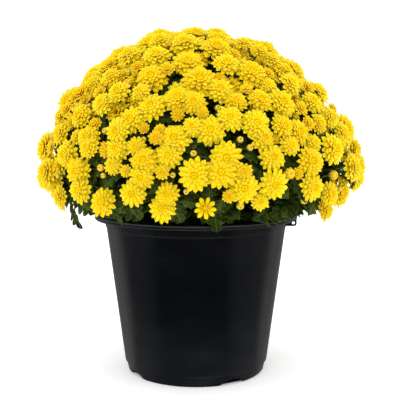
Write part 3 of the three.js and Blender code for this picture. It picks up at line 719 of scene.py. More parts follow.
@dataclass
class Layout:
    """Lays out the plant by the rule that its solids follow."""

    dome: Dome = field(default_factory=Dome)
    sprays: int = 24
    fill_count: int = 290
    fill_lowest: float = 112
    fill_nudge: float = 1.4
    fill_sizes: tuple[float, float] = (31, 39)
    fill_spacing: float = 26
    front_half_width: float = 64
    front_top: float = 34
    fill_seed: int = 11
    bloom_seed: int = 5
    hidden_tries: int = 900
    hidden_sizes: tuple[float, float] = (24, 29)
    hidden_depth: float = 8
    hidden_lowest: float = 99
    hidden_room: float = 0.8
    hidden_overlap: float = 0.5
    hidden_spacing: float = 1.4
    hidden_front_top: float = 62
    hidden_seed: int = 71
    late_depth: float = 2
    late_seed: int = 67
    lift: float = 3
    tilt: float = 0.16
    lowest_facing: float = 0.08
    light_lean: float = 0.65
    star_drop: float = 4.5
    lean_ends: float = 80
    lean_band: float = 60
    shoulder_pull: tuple[float, float] = (10, 5)
    hem_pull: float = 12
    hem_height: float = 212
    hem_azimuths: tuple[float, float] = (40, 100)
    half_open_below: float = 9.5
    heart_height: float = 205
    hub_share: float = 0.68
    root_spread: float = 0.36
    root_height: float = 122
    collar_height: float = 162
    stalk_shares: tuple[float, float] = (0.86, 0.93)
    seat: float = 0.42
    bud_depth: float = 5
    bud_height: float = 1.15
    bud_count: int = 35
    bud_polars: tuple[float, float] = (20, 105)
    bud_sizes: tuple[float, float] = (7, 10)
    bud_room: float = 0.95
    bud_slack: float = 0.5
    bud_seed: int = 23
    crown_facing: float = 0.93
    crown_bud_lift: float = 11
    whorl_place: float = 0.76
    whorl_leaves: int = 4
    whorl_lengths: tuple[float, ...] = (50, 44, 38, 31, 24)
    whorl_lift: tuple[float, float] = (0.45, 1.05)
    whorl_seed: int = 31
    back_skirt: tuple[float, float, float] = (104, 256, 15.2)
    skirt_radii: tuple[float, float] = (117, 132)
    skirt_heights: tuple[float, float] = (174, 190)
    back_skirt_seed: int = 41
    rib_place: float = 0.72
    rib_rise: float = 0.7
    arch: float = 0.25

    def make_bloom(self, azimuth: float, polar: float, radius: float, draw: Draws) -> Bloom:
        """Places one bloom on the dome.

        Args:
            azimuth: degrees round from the front.
            polar: degrees down from the top.
            radius: the bloom's radius.
            draw: gives its lift and tilt.

        Returns:
            The bloom.
        """
        place, facing = self.dome.spot(azimuth, polar)
        place += facing * draw(-self.lift, self.lift)
        axis = Vector((facing.x, facing.y, max(facing.z, self.lowest_facing))).normalized()
        side, other = cross_axes(axis)
        axis = axis + side * draw(-self.tilt, self.tilt)
        axis = (axis + other * draw(-self.tilt, self.tilt)).normalized()
        form = BloomForm.HALF_OPEN if radius < self.half_open_below else BloomForm.FULL
        return Bloom(place, axis, radius, form)

    def lean_to_light(self, bloom: Bloom) -> None:
        """Turns a bloom on the front half of the plant towards the light it grew in."""
        near = min(1.0, max(0.0, (self.lean_ends - bloom.place.y) / self.lean_band))
        lean = self.light_lean * near * (1 - max(0.0, -bloom.axis.y))
        bloom.axis = (bloom.axis - Vector((0, lean, 0))).normalized()

    def draw_in(self, bloom: Bloom) -> None:
        """Draws a bloom of the two shoulders or of the low right side in towards the stems."""
        left, right = self.shoulder_pull
        aside = left * max(0.0, -bloom.axis.x) + right * max(0.0, bloom.axis.x)
        bloom.place -= bloom.axis * (2 * aside * bloom.axis.z)
        azimuth = math.degrees(math.atan2(bloom.place.x, -bloom.place.y))
        low, high = self.hem_azimuths
        if bloom.place.z < self.hem_height and low < azimuth < high:
            bloom.place -= bloom.axis * self.hem_pull

    def blooms(self) -> list[Bloom]:
        """All the blooms: those set on the front, then the spiral that fills the rest."""
        draw = Draws(self.bloom_seed)
        blooms = [self.make_bloom(a, p, size / 2, draw) for a, p, size in FRONT_BLOOMS]
        blooms[STAR_BLOOM].form = BloomForm.STAR
        draw = Draws(self.fill_seed)
        low_cosine = math.cos(math.radians(self.fill_lowest))
        for i in range(self.fill_count):
            share = (i + 0.5) / self.fill_count
            polar = math.degrees(math.acos(1 - share * (1 - low_cosine)))
            polar += draw(-self.fill_nudge, self.fill_nudge)
            azimuth = (i * GOLDEN_ANGLE) % 360 - 180 + draw(-self.fill_nudge, self.fill_nudge)
            bloom = self.make_bloom(azimuth, polar, draw(*self.fill_sizes) / 2, draw)
            on_front = abs(azimuth) < self.front_half_width and polar > self.front_top
            crowded = any((b.place - bloom.place).length < self.fill_spacing for b in blooms)
            if not on_front and not crowded:
                blooms.append(bloom)
        return blooms

    def late_blooms(self, blooms: list[Bloom]) -> list[Bloom]:
        """The small late blooms of the front.

        Args:
            blooms: the blooms on the dome.

        Returns:
            The late blooms, each with its nearest bloom's spray.
        """
        draw = Draws(self.late_seed)
        late = []
        for azimuth, polar, size in FRONT_LATE:
            bloom = self.make_bloom(azimuth, polar, size / 2, draw)
            bloom.place -= bloom.axis * self.late_depth
            bloom.spray = min(blooms, key=lambda b: (b.place - bloom.place).length).spray
            late.append(bloom)
        return late

    def hidden_blooms(self, blooms: list[Bloom]) -> list[Bloom]:
        """Smaller blooms that sit lower in the gaps, where the plant is dense.

        Args:
            blooms: the blooms on the dome.

        Returns:
            The hidden blooms, each with its nearest bloom's spray.
        """
        draw = Draws(self.hidden_seed)
        hidden = []
        low_cosine = math.cos(math.radians(self.hidden_lowest))
        for i in range(self.hidden_tries):
            share = (i + 0.5) / self.hidden_tries
            polar = math.degrees(math.acos(1 - share * (1 - low_cosine)))
            azimuth = (i * GOLDEN_ANGLE) % 360 - 180
            bloom = self.make_bloom(azimuth, polar, draw(*self.hidden_sizes) / 2, draw)
            bloom.form = BloomForm.HIDDEN
            self.draw_in(bloom)
            bloom.place -= bloom.axis * self.hidden_depth
            on_front = abs(azimuth) < self.front_half_width and polar > self.hidden_front_top
            near = min(blooms, key=lambda b: (b.place - bloom.place).length)
            room = self.hidden_room * (near.radius + self.hidden_overlap * bloom.radius)
            gap = (near.place - bloom.place).length > room
            spacing = self.hidden_spacing * bloom.radius
            apart = all((b.place - bloom.place).length > spacing for b in hidden)
            if gap and apart and not on_front:
                bloom.spray = near.spray
                hidden.append(bloom)
        return hidden

    def stems(self, blooms: list[Bloom]) -> list[Stem]:
        """One stem for each spray.

        Args:
            blooms: the blooms, each with its spray's number.

        Returns:
            The stems, with the lines that leaves and buds may leave from.
        """
        heart = Vector((self.dome.shift, 0, self.heart_height))
        stems = []
        for number in range(self.sprays):
            own = [bloom for bloom in blooms if bloom.spray == number]
            middle = sum((bloom.place for bloom in own), Vector()) / len(own)
            hub = heart.lerp(middle, self.hub_share)
            root = Vector((hub.x * self.root_spread, hub.y * self.root_spread, self.root_height))
            collar = Vector((root.x, root.y, self.collar_height))
            stem = Stem(root, collar, hub, own)
            lead, *side_blooms = self.carried(own)
            stem.carriers = [(collar, hub), (hub, self.stalk_end(lead))]
            for share, bloom in zip(self.stalk_shares, side_blooms):
                start = collar.lerp(hub, share)
                stem.carriers.append((start, self.stalk_end(bloom)))
            stems.append(stem)
        return stems

    @staticmethod
    def carried(own: list[Bloom]) -> list[Bloom]:
        """The blooms of a spray whose stalks its solids have: the first and the two furthest apart."""
        carried = [own[0]]
        while len(carried) < min(3, len(own)):
            carried.append(max(own, key=lambda b: min((c.place - b.place).length for c in carried)))
        return carried

    def stalk_end(self, bloom: Bloom) -> Vector:
        """Where a stalk meets the underside of its bloom."""
        return bloom.place - bloom.axis * (self.seat * bloom.radius)

    def bearers(self, stem: Stem) -> list[Vector]:
        """The spots on a stem and its stalks that a leaf or bud may leave from."""
        return [low.lerp(high, share) for low, high in stem.carriers for share in BEARER_SHARES]

    def buds(self, blooms: list[Bloom]) -> list[Bud]:
        """The buds: those set on the front, then seeded ones in the gaps of the rest."""
        buds = []
        for azimuth, polar, size in FRONT_BUDS:
            place, facing = self.dome.spot(azimuth, polar)
            buds.append(Bud(place - facing * self.bud_depth, facing, size / 2))
        draw = Draws(self.bud_seed)
        while len(buds) < self.bud_count:
            azimuth = draw(self.front_half_width, 360 - self.front_half_width)
            place, facing = self.dome.spot(azimuth, draw(*self.bud_polars))
            radius = draw(*self.bud_sizes) / 2
            place = place - facing * self.bud_depth
            if all((b.place - place).length > b.radius * self.bud_room + radius for b in blooms):
                buds.append(Bud(place, facing, radius))
        return buds

    def skirt_tips(self) -> list[Vector]:
        """Where the tips of the leaves that hang over the rim are."""
        draw = Draws(self.back_skirt_seed)
        rows = list(FRONT_SKIRT)
        first, last, step = self.back_skirt
        azimuth = first
        while azimuth < last:
            rows.append((azimuth, draw(*self.skirt_radii), draw(*self.skirt_heights)))
            azimuth += step
        tips = []
        for azimuth, radius, height in rows:
            turn = math.radians(azimuth)
            tips.append(Vector((radius * math.sin(turn), -radius * math.cos(turn), height)))
        return tips


class Solids:
    """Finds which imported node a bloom, bud or leaf belongs to."""

    def __init__(self, sprays: int) -> None:
        """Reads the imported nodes.

        Args:
            sprays: how many sprays and stems there are.
        """
        self.sprays = []
        self.corners = []
        for number in range(1, sprays + 1):
            self.sprays.append(BVHTree.FromPolygons(*self.faces(f"blooms_{number:02d}")))
            corners, _ = self.faces(f"stem_{number:02d}")
            tree = KDTree(len(corners))
            for i, corner in enumerate(corners):
                tree.insert(corner, i)
            tree.balance()
            self.corners.append(tree)

    @staticmethod
    def faces(node: str) -> tuple[list[Vector], list[tuple[int, ...]]]:
        """The corners, in millimetres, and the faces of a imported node."""
        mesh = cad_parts[node].data
        return [v.co / MM for v in mesh.vertices], [tuple(p.vertices) for p in mesh.polygons]

    def spray_of(self, place: Vector) -> int:
        """The number of the spray whose solid lies nearest to a point."""
        return min(range(len(self.sprays)), key=lambda i: self.sprays[i].find_nearest(place)[3])

    def miss(self, stem: int, place: Vector) -> float:
        """How far the nearest corner of a stem's solid is from a point."""
        return self.corners[stem].find(place)[2]

    def stem_at(self, place: Vector, within: float = CORNER_SLACK) -> int:
        """The number of the stem whose solid has a corner at a point, or -1."""
        best = min(range(len(self.corners)), key=lambda i: self.miss(i, place))
        return best if self.miss(best, place) < within else -1


class Plant:
    """The laid-out plant, with its blooms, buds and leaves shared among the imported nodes."""

    def __init__(self, layout: Layout) -> None:
        """Lays out the plant.

        Args:
            layout: the rule.
        """
        self.layout = layout
        self.solids = Solids(layout.sprays)
        self.blooms = layout.blooms()
        for bloom in self.blooms:
            bloom.spray = self.solids.spray_of(bloom.place)
        self.stems = layout.stems(self.blooms)
        self.share_buds()
        self.share_rim_leaves()
        self.share_whorls()
        self.move_blooms()
        self.add_small_blooms()
        for bloom in self.blooms:
            layout.lean_to_light(bloom)

    def share_buds(self) -> None:
        """Gives each bud that the solids have to its stem. Those on the crown stand higher."""
        layout = self.layout
        for bud in layout.buds(self.blooms):
            reach = bud.axis * (layout.bud_height * bud.radius)
            number = self.solids.stem_at(bud.place + reach, layout.bud_slack * bud.radius)
            if number < 0:
                continue
            spots = layout.bearers(self.stems[number])
            start = min(spots, key=lambda spot: self.bud_miss(number, bud, spot))
            if bud.axis.z > layout.crown_facing:
                bud = Bud(bud.place + bud.axis * layout.crown_bud_lift, bud.axis, bud.radius)
            self.stems[number].buds.append((bud, start))

    def bud_miss(self, number: int, bud: Bud, start: Vector) -> float:
        """How far a corner of a bud's neck would be from its stem's solid, for a stalk from a spot."""
        neck = bud.place - bud.axis * (self.layout.bud_height * bud.radius)
        side = (neck - start).cross(bud.axis).normalized()
        return self.solids.miss(number, neck + side)

    def share_rim_leaves(self) -> None:
        """Gives each leaf over the rim to the stem whose solid has its tip."""
        for tip in self.layout.skirt_tips():
            number = self.solids.stem_at(tip)
            if number < 0:
                continue
            face = (Vector((tip.x, tip.y, 0)).normalized() + UP * 0.5).normalized()
            spots = self.layout.bearers(self.stems[number])
            start = min(spots, key=lambda spot: self.leaf_miss(number, tip, face, spot))
            self.stems[number].leaves.append((start, tip, face))

    def leaf_miss(self, number: int, tip: Vector, face: Vector, start: Vector) -> float:
        """How far a corner of a leaf's rib would be from its stem's solid, for a leaf from a spot."""
        layout = self.layout
        ahead = tip - start
        above = ahead.normalized().cross(face.cross(ahead).normalized())
        arch = layout.arch * layout.rib_place * (1 - layout.rib_place) * ahead.length
        corner = start + ahead * layout.rib_place + above * (arch + layout.rib_rise)
        return self.solids.miss(number, corner)

    def share_whorls(self) -> None:
        """Gives each stem the leaves of its whorl, where its solid has them and they stay over the lip."""
        layout = self.layout
        draw = Draws(layout.whorl_seed)
        for number, stem in enumerate(self.stems):
            centre = stem.collar.lerp(stem.hub, layout.whorl_place)
            ahead = (stem.hub - stem.collar).normalized()
            side, other = cross_axes(ahead)
            first = draw(0, TAU)
            for i in range(layout.whorl_leaves):
                turn = first + TAU * i / layout.whorl_leaves
                away = side * math.cos(turn) + other * math.sin(turn) + ahead * draw(*layout.whorl_lift)
                away = away.normalized()
                tips = [centre + away * length for length in layout.whorl_lengths]
                tip = min(tips, key=lambda spot: self.solids.miss(number, spot))
                outside = math.hypot(tip.x, tip.y) > NurseryPot.wall_top_radius
                hangs = tip.z < NurseryPot.height and outside
                if self.solids.miss(number, tip) < CORNER_SLACK and not hangs:
                    stem.leaves.append((centre, tip, ahead))

    def move_blooms(self) -> None:
        """Lowers the star-shaped bloom and draws in the shoulders and the hem."""
        self.blooms[STAR_BLOOM].place -= UP * self.layout.star_drop
        for bloom in self.blooms[len(FRONT_BLOOMS):]:
            self.layout.draw_in(bloom)

    def add_small_blooms(self) -> None:
        """Adds the late blooms and those that sit deep in the gaps."""
        added = self.layout.late_blooms(self.blooms)
        added += self.layout.hidden_blooms(self.blooms + added)
        for bloom in added:
            self.stems[bloom.spray].blooms.append(bloom)
        self.blooms += added


# ---- petals and blooms --------------------------------------------------------------------------
@dataclass(frozen=True)
class PetalLayers(Layers):
    """The numbers that each corner of a spray stores for its finish."""

    along: bmesh.types.BMLayerItem
    heart: bmesh.types.BMLayerItem
    tone: bmesh.types.BMLayerItem
    across: bmesh.types.BMLayerItem


@dataclass(frozen=True)
class PetalRow:
    """One row of petals: how many, and their shape as shares of the bloom's radius."""

    count: int
    reach: float
    width: float
    root_radius: float
    root_height: float
    root_rise: float
    tip_rise: float
    heart: float = 0.0
    steps: int = 4


PETAL_ROWS = {
    BloomForm.FULL: (
        PetalRow(15, 1.07, 0.36, 0.10, -0.14, 0.26, -0.26),
        PetalRow(13, 0.90, 0.34, 0.10, -0.03, 0.42, -0.06, steps=3),
        PetalRow(12, 0.72, 0.29, 0.09, 0.06, 0.60, 0.10, steps=3),
        PetalRow(10, 0.54, 0.24, 0.08, 0.12, 0.84, 0.30, 0.1, steps=3),
        PetalRow(10, 0.37, 0.17, 0.20, 0.12, 0.95, 2.0, 0.6, steps=2),
    ),
    BloomForm.HALF_OPEN: (
        PetalRow(12, 1.05, 0.42, 0.12, -0.15, 0.50, 0.10),
        PetalRow(10, 0.84, 0.36, 0.10, -0.05, 0.75, 0.40, 0.05, steps=3),
        PetalRow(8, 0.60, 0.29, 0.10, 0.05, 1.00, 0.8, 0.15, steps=3),
        PetalRow(7, 0.38, 0.22, 0.18, 0.08, 1.2, 1.9, 0.35, steps=2),
    ),
    BloomForm.STAR: (
        PetalRow(9, 1.12, 0.44, 0.22, -0.05, 0.26, -0.08),
        PetalRow(7, 0.50, 0.26, 0.20, 0.02, 0.75, 0.40, 0.2, steps=3),
        PetalRow(9, 0.36, 0.18, 0.22, 0.05, 1.1, 1.9, 0.45, steps=2),
    ),
    BloomForm.HIDDEN: (
        PetalRow(11, 1.05, 0.42, 0.10, -0.10, 0.30, -0.10, steps=2),
        PetalRow(9, 0.80, 0.38, 0.10, 0.00, 0.50, 0.15, steps=2),
        PetalRow(7, 0.52, 0.34, 0.10, 0.06, 0.80, 0.5, 0.1, steps=2),
    ),
}


@dataclass(frozen=True)
class PetalShape:
    """The outline of every petal: narrow root, broad blade and a short, soft point.

    The outline gives the width at shares of the length. Petals of fewer steps bend at fewer places.
    """

    outline: tuple[tuple[float, float], ...] = (
        (0, 0.42), (0.33, 0.76), (0.62, 1.0), (0.84, 0.84), (0.94, 0.40),
    )
    fewer_bends: tuple[tuple[float, ...], ...] = ((0.0, 0.58, 0.94), (0.0, 0.5, 0.82, 0.94))
    point: float = 0.075
    channel: float = 0.14
    thickness: float = 0.35
    jitter: float = 0.09
    twist: float = 0.25
    colour_bow: float = 0.16
    tip_colour: float = 0.05

    def width_at(self, along: float) -> float:
        """The petal's width at a share of its length, as a share of its greatest width."""
        for (low, low_width), (high, high_width) in zip(self.outline, self.outline[1:]):
            if along <= high:
                return low_width + (high_width - low_width) * (along - low) / (high - low)
        return self.outline[-1][1]

    def places(self, steps: int) -> list[float]:
        """The shares of the length at which a petal of so many steps bends."""
        bends = [along for along, _ in self.outline]
        return next((list(fewer) for fewer in self.fewer_bends if len(fewer) == steps + 1), bends)

    def add(
        self, bm: bmesh.types.BMesh, bloom: Bloom, row: PetalRow, turn: float, draw: Draws,
        tone: float, layers: PetalLayers,
    ) -> None:
        """Adds one petal.

        Args:
            bm: the spray under construction.
            bloom: the bloom that the petal belongs to.
            row: its row.
            turn: its angle round the bloom.
            draw: gives its small differences.
            tone: how golden the bloom is.
            layers: the numbers stored along the petals.
        """
        made = bmesh.ops.create_grid(bm, x_segments=2, y_segments=row.steps, size=1.0)["verts"]
        jitter = self.jitter
        length = (row.reach - row.root_radius) * bloom.radius * (1 + draw(-jitter, jitter))
        width = row.width * bloom.radius * (1 + draw(-jitter, jitter)) / 2
        twist = draw(-self.twist, self.twist)
        side, other = cross_axes(bloom.axis)
        outward = side * math.cos(turn) + other * math.sin(turn)
        across = bloom.axis.cross(outward)
        root = (
            bloom.place + outward * (row.root_radius * bloom.radius)
            + bloom.axis * (row.root_height * bloom.radius)
        )
        places = self.places(row.steps)
        root_rise = row.root_rise + draw(-jitter, jitter)
        tip_rise = row.tip_rise + draw(-1.5 * jitter, 1.5 * jitter)
        spine = self.spine(places, length, root_rise, tip_rise)
        for vert in made:
            column = round(vert.co.x)
            step = round((vert.co.y + 1) / 2 * row.steps)
            along, up, rise = spine[step]
            if step == row.steps and column == 0:
                along += self.point * length * math.cos(rise)
                up += self.point * length * math.sin(rise)
            half = column * width * self.width_at(places[step])
            lift = self.channel * abs(half) + half * twist * places[step]
            vert.co = (
                root + outward * (along - lift * math.sin(rise))
                + bloom.axis * (up + lift * math.cos(rise)) + across * half
            )
            bowed = places[step] * (1 - self.colour_bow + self.colour_bow * abs(column))
            vert[layers.along] = bowed + (self.tip_colour if step == row.steps else 0)
            vert[layers.heart] = row.heart
            vert[layers.tone] = tone
            vert[layers.across] = column

    @staticmethod
    def spine(
        places: Sequence[float], length: float, root_rise: float, tip_rise: float,
    ) -> list[tuple[float, float, float]]:
        """The middle line of a petal, as distance out, height and rise at each place along it."""
        line = [(0.0, 0.0, root_rise)]
        for low, high in zip(places, places[1:]):
            rise = root_rise + (tip_rise - root_rise) * (low + high) / 2
            along, up, _ = line[-1]
            step = (high - low) * length
            line.append((along + step * math.cos(rise), up + step * math.sin(rise), rise))
        return line


@dataclass
class Spray:
    """The blooms over one stem, as one piece."""

    number: int
    blooms: list[Bloom]
    shape: PetalShape = field(default_factory=PetalShape)
    tones: tuple[float, float] = (0, 0.5)
    half_open_tone: float = 0.4
    turn_jitter: float = 0.07
    button_radius: float = 0.21
    button_height: float = 0.17
    button_seat: float = 0.19
    button_segments: int = 8
    button_rings: int = 6
    button_along: float = 0.5
    button_shade: float = 0.35
    dimple_radius: float = 0.6
    dimple_depth: float = 0.5
    dimple_shade: float = 1.9

    def build(self, petal: bpy.types.Material) -> bpy.types.Object:
        """Builds the spray.

        Args:
            petal: the petals' finish.

        Returns:
            The piece.
        """
        bm = bmesh.new()
        layers = PetalLayers.on(bm)
        draw = Draws(SPRAY_SEED + self.number)
        for bloom in self.blooms:
            self.add_petals(bm, bloom, layers, draw)
        bmesh.ops.solidify(bm, geom=bm.faces[:], thickness=self.shape.thickness)
        for bloom in self.blooms:
            if bloom.form is not BloomForm.HIDDEN:
                self.add_button(bm, bloom, layers)
        piece = finish_mesh(bm, f"bloom_spray_{self.number:02d}", [petal])
        stand_for(piece, f"blooms_{self.number:02d}")
        return piece

    def add_petals(self, bm: bmesh.types.BMesh, bloom: Bloom, layers: PetalLayers, draw: Draws) -> None:
        """Adds a bloom's petals row by row, each row turned half a petal from the last."""
        first = draw(0, TAU)
        tone = draw(*self.tones) + (self.half_open_tone if bloom.form is BloomForm.HALF_OPEN else 0)
        for order, row in enumerate(PETAL_ROWS[bloom.form]):
            for i in range(row.count):
                turn = first + TAU * (i + 0.5 * (order % 2)) / row.count
                turn += draw(-self.turn_jitter, self.turn_jitter)
                self.shape.add(bm, bloom, row, turn, draw, tone, layers)

    def add_button(self, bm: bmesh.types.BMesh, bloom: Bloom, layers: PetalLayers) -> None:
        """Adds the tight heart of florets, with a dimple in its middle. Its sides and its dimple are darkened
        with painted shade.
        """
        made = bmesh.ops.create_uvsphere(
            bm, u_segments=self.button_segments, v_segments=self.button_rings, radius=1.0,
        )["verts"]
        side, other = cross_axes(bloom.axis)
        reach = self.button_radius * bloom.radius
        for vert in made:
            x, y, z = vert.co
            nearness = max(0.0, 1 - math.hypot(x, y) / self.dimple_radius)
            dimple = self.dimple_depth * nearness if z > 0 else 0.0
            vert.co = (
                bloom.place + side * (x * reach) + other * (y * reach)
                + bloom.axis * ((self.button_seat + self.button_height * (z - dimple)) * bloom.radius)
            )
            vert[layers.along] = self.button_along
            # painted shade: darker down the button's sides and in its dimple
            vert[layers.heart] = self.button_shade * (1 - z) + self.dimple_shade * dimple


# ---- stalks, buds and leaves --------------------------------------------------------------------
class Green(Enum):
    """The finishes of a leafy stem, in the order of its material slots."""

    STALK = 0
    LEAF = 1
    BUD = 2


@dataclass(frozen=True)
class GreenLayers(Layers):
    """The numbers that each corner of a leafy stem stores for its finishes."""

    along: bmesh.types.BMLayerItem
    across: bmesh.types.BMLayerItem
    ripe: bmesh.types.BMLayerItem


@dataclass(frozen=True)
class Stalk:
    """A round stalk that follows a curve."""

    sides: int = 5
    steps: int = 6
    pull: float = 0.38

    def add(self, bm: bmesh.types.BMesh, line: Sequence[Vector], radii: Sequence[float]) -> None:
        """Sweeps a circle along a line of points.

        Args:
            bm: the stem under construction.
            line: the points.
            radii: the radius at each.
        """
        made = bmesh.ops.create_circle(bm, cap_ends=True, segments=self.sides, radius=1.0)["verts"]
        faces = {face for vert in made for face in vert.link_faces}
        tangent = (line[1] - line[0]).normalized()
        self.place_ring(made, line[0], tangent, radii[0])
        for i in range(1, len(line)):
            out = bmesh.ops.extrude_face_region(bm, geom=list(faces))["geom"]
            ring = [item for item in out if isinstance(item, bmesh.types.BMVert)]
            if i > 1:
                bmesh.ops.delete(bm, geom=list(faces), context="FACES_ONLY")
            faces = {item for item in out if isinstance(item, bmesh.types.BMFace)}
            turned = (line[min(i + 1, len(line) - 1)] - line[i - 1]).normalized()
            turn = tangent.rotation_difference(turned).to_matrix()
            for vert in ring:
                offset = turn @ (vert.co - line[i - 1])
                vert.co = line[i] + offset.normalized() * radii[i]
            tangent = turned

    @staticmethod
    def place_ring(
        ring: Iterable[bmesh.types.BMVert], centre: Vector, tangent: Vector, radius: float,
    ) -> None:
        """Lays a unit circle square to a tangent."""
        side, other = cross_axes(tangent)
        for vert in ring:
            vert.co = centre + side * (vert.co.x * radius) + other * (vert.co.y * radius)

    def curve(self, start: Vector, end: Vector, leaving: Vector, arriving: Vector) -> list[Vector]:
        """Points of a smooth curve between two points with given directions at its ends."""
        pull = self.pull * (end - start).length
        one, two = start + leaving * pull, end - arriving * pull
        points = []
        for i in range(self.steps + 1):
            t = i / self.steps
            points.append(
                start * (1 - t) ** 3 + one * (3 * t * (1 - t) ** 2)
                + two * (3 * t * t * (1 - t)) + end * t ** 3
            )
        return points


@dataclass(frozen=True)
class Leaf:
    """A lobed leaf: rounded lobes with narrow clefts stand forward on each side of its rib.

    The outline gives half the width at shares of the length, both as shares of the length.
    """

    outline: tuple[tuple[float, float], ...] = (
        (0, 0.018), (0.13, 0.018), (0.19, 0.06), (0.22, 0.16), (0.27, 0.21), (0.33, 0.22), (0.37, 0.17),
        (0.39, 0.08), (0.42, 0.21), (0.47, 0.29), (0.53, 0.30), (0.575, 0.25), (0.595, 0.11), (0.62, 0.21),
        (0.68, 0.26), (0.74, 0.24), (0.775, 0.18), (0.79, 0.11), (0.83, 0.15), (0.9, 0.15), (0.96, 0.10),
        (1, 0.02),
    )
    columns: int = 4
    sweep: float = 0.5
    fold: float = 0.22
    arch: float = 0.25
    wave: float = 0.02
    wave_turns: tuple[float, float] = (9, 5)
    heel: float = 0.16
    thickness: float = 0.35

    def add(
        self, bm: bmesh.types.BMesh, base: Vector, tip: Vector, face: Vector, layers: GreenLayers,
        droop: float = 0.0,
    ) -> None:
        """Adds one leaf.

        Args:
            bm: the stem under construction.
            base: where it leaves its stem.
            tip: where it ends.
            face: the way its upper side looks.
            layers: the numbers stored over the blade.
            droop: how far its tip half hangs, as a share of its length.
        """
        rows = len(self.outline) - 1
        made = bmesh.ops.create_grid(bm, x_segments=self.columns, y_segments=rows, size=1.0)["verts"]
        ahead = tip - base
        length = ahead.length
        ahead = ahead / length
        across = face.cross(ahead).normalized()
        above = ahead.cross(across)
        along_wave, across_wave = self.wave_turns
        for vert in made:
            share, half = self.outline[round((vert.co.y + 1) / 2 * rows)]
            column = vert.co.x
            side = column * half
            swept = share + self.sweep * abs(side) * (1 - share)
            lift = self.arch * share * (1 - share) + self.fold * abs(side) - droop * share * share
            lift += self.wave * math.sin(along_wave * share + across_wave * column)
            place = base + ahead * (swept * length) + across * (side * length) + above * (lift * length)
            vert.co = self.rest_on_rim(place)
            vert[layers.along] = share
            vert[layers.across] = abs(column) if share > self.heel else 0.0
        blade = {f for vert in made for f in vert.link_faces}
        for item in blade:
            item.material_index = Green.LEAF.value
        bmesh.ops.solidify(bm, geom=list(blade), thickness=self.thickness)

    @staticmethod
    def rest_on_rim(place: Vector) -> Vector:
        """Lifts a point that would be in the pot's lip to just over it."""
        rim = NurseryPot
        if rim.wall_top_radius - 7 < math.hypot(place.x, place.y) < rim.lip_radius + 1.5:
            place.z = max(place.z, rim.height + 1)
        return place


@dataclass(frozen=True)
class BudShape:
    """A ball of packed petals with a dimple. Larger buds are riper: deeper ribbed and yellow.

    Lengths are shares of the bud's radius, apart from the radii that it ripens at.
    """

    segments: int = 24
    rings: int = 10
    girth: float = 0.92
    petals: int = 8
    rib_depths: tuple[float, float] = (0.05, 0.12)
    dimple_radius: float = 0.55
    dimple_depth: float = 0.45
    green_radius: float = 3.4
    ripening: float = 1.8
    ripest: float = 0.85
    crown_along: float = 0.82
    dimple_shade_along: float = 0.6
    dimple_ripe: float = 1.5
    ripe_from: float = 0.5

    def add(self, bm: bmesh.types.BMesh, bud: Bud, turn: float, layers: GreenLayers) -> None:
        """Adds one bud.

        Args:
            bm: the stem under construction.
            bud: where it is.
            turn: its angle round its axis.
            layers: the numbers stored over it.
        """
        made = bmesh.ops.create_uvsphere(
            bm, u_segments=self.segments, v_segments=self.rings, radius=1.0,
        )["verts"]
        side, other = cross_axes(bud.axis)
        ripe = min(self.ripest, max(0.0, (bud.radius - self.green_radius) / self.ripening))
        green_rib, ripe_rib = self.rib_depths
        for vert in made:
            x, y, z = vert.co
            rib = math.cos(self.petals * math.atan2(y, x) + turn)
            ribs = 1 - (green_rib + ripe_rib * ripe) * rib * (1 - z * z)
            nearness = max(0.0, 1 - math.hypot(x, y) / self.dimple_radius)
            dimple = self.dimple_depth * nearness if z > 0 else 0.0
            reach = self.girth * bud.radius * ribs
            vert.co = (
                bud.place + side * (x * reach) + other * (y * reach)
                + bud.axis * ((z - dimple) * bud.radius)
            )
            # the dimple climbs to the brown eye, painted shade in the recess, and keeps little of the ripe
            # yellow
            climb = (z + 1) / 2 * self.crown_along + dimple * self.dimple_shade_along
            vert[layers.along] = min(1.0, climb)
            vert[layers.across] = rib
            rising = min(1.0, max(0.0, self.ripe_from + z))
            vert[layers.ripe] = ripe * rising * (1 - self.dimple_ripe * dimple)
        for face in {f for vert in made for f in vert.link_faces}:
            face.material_index = Green.BUD.value


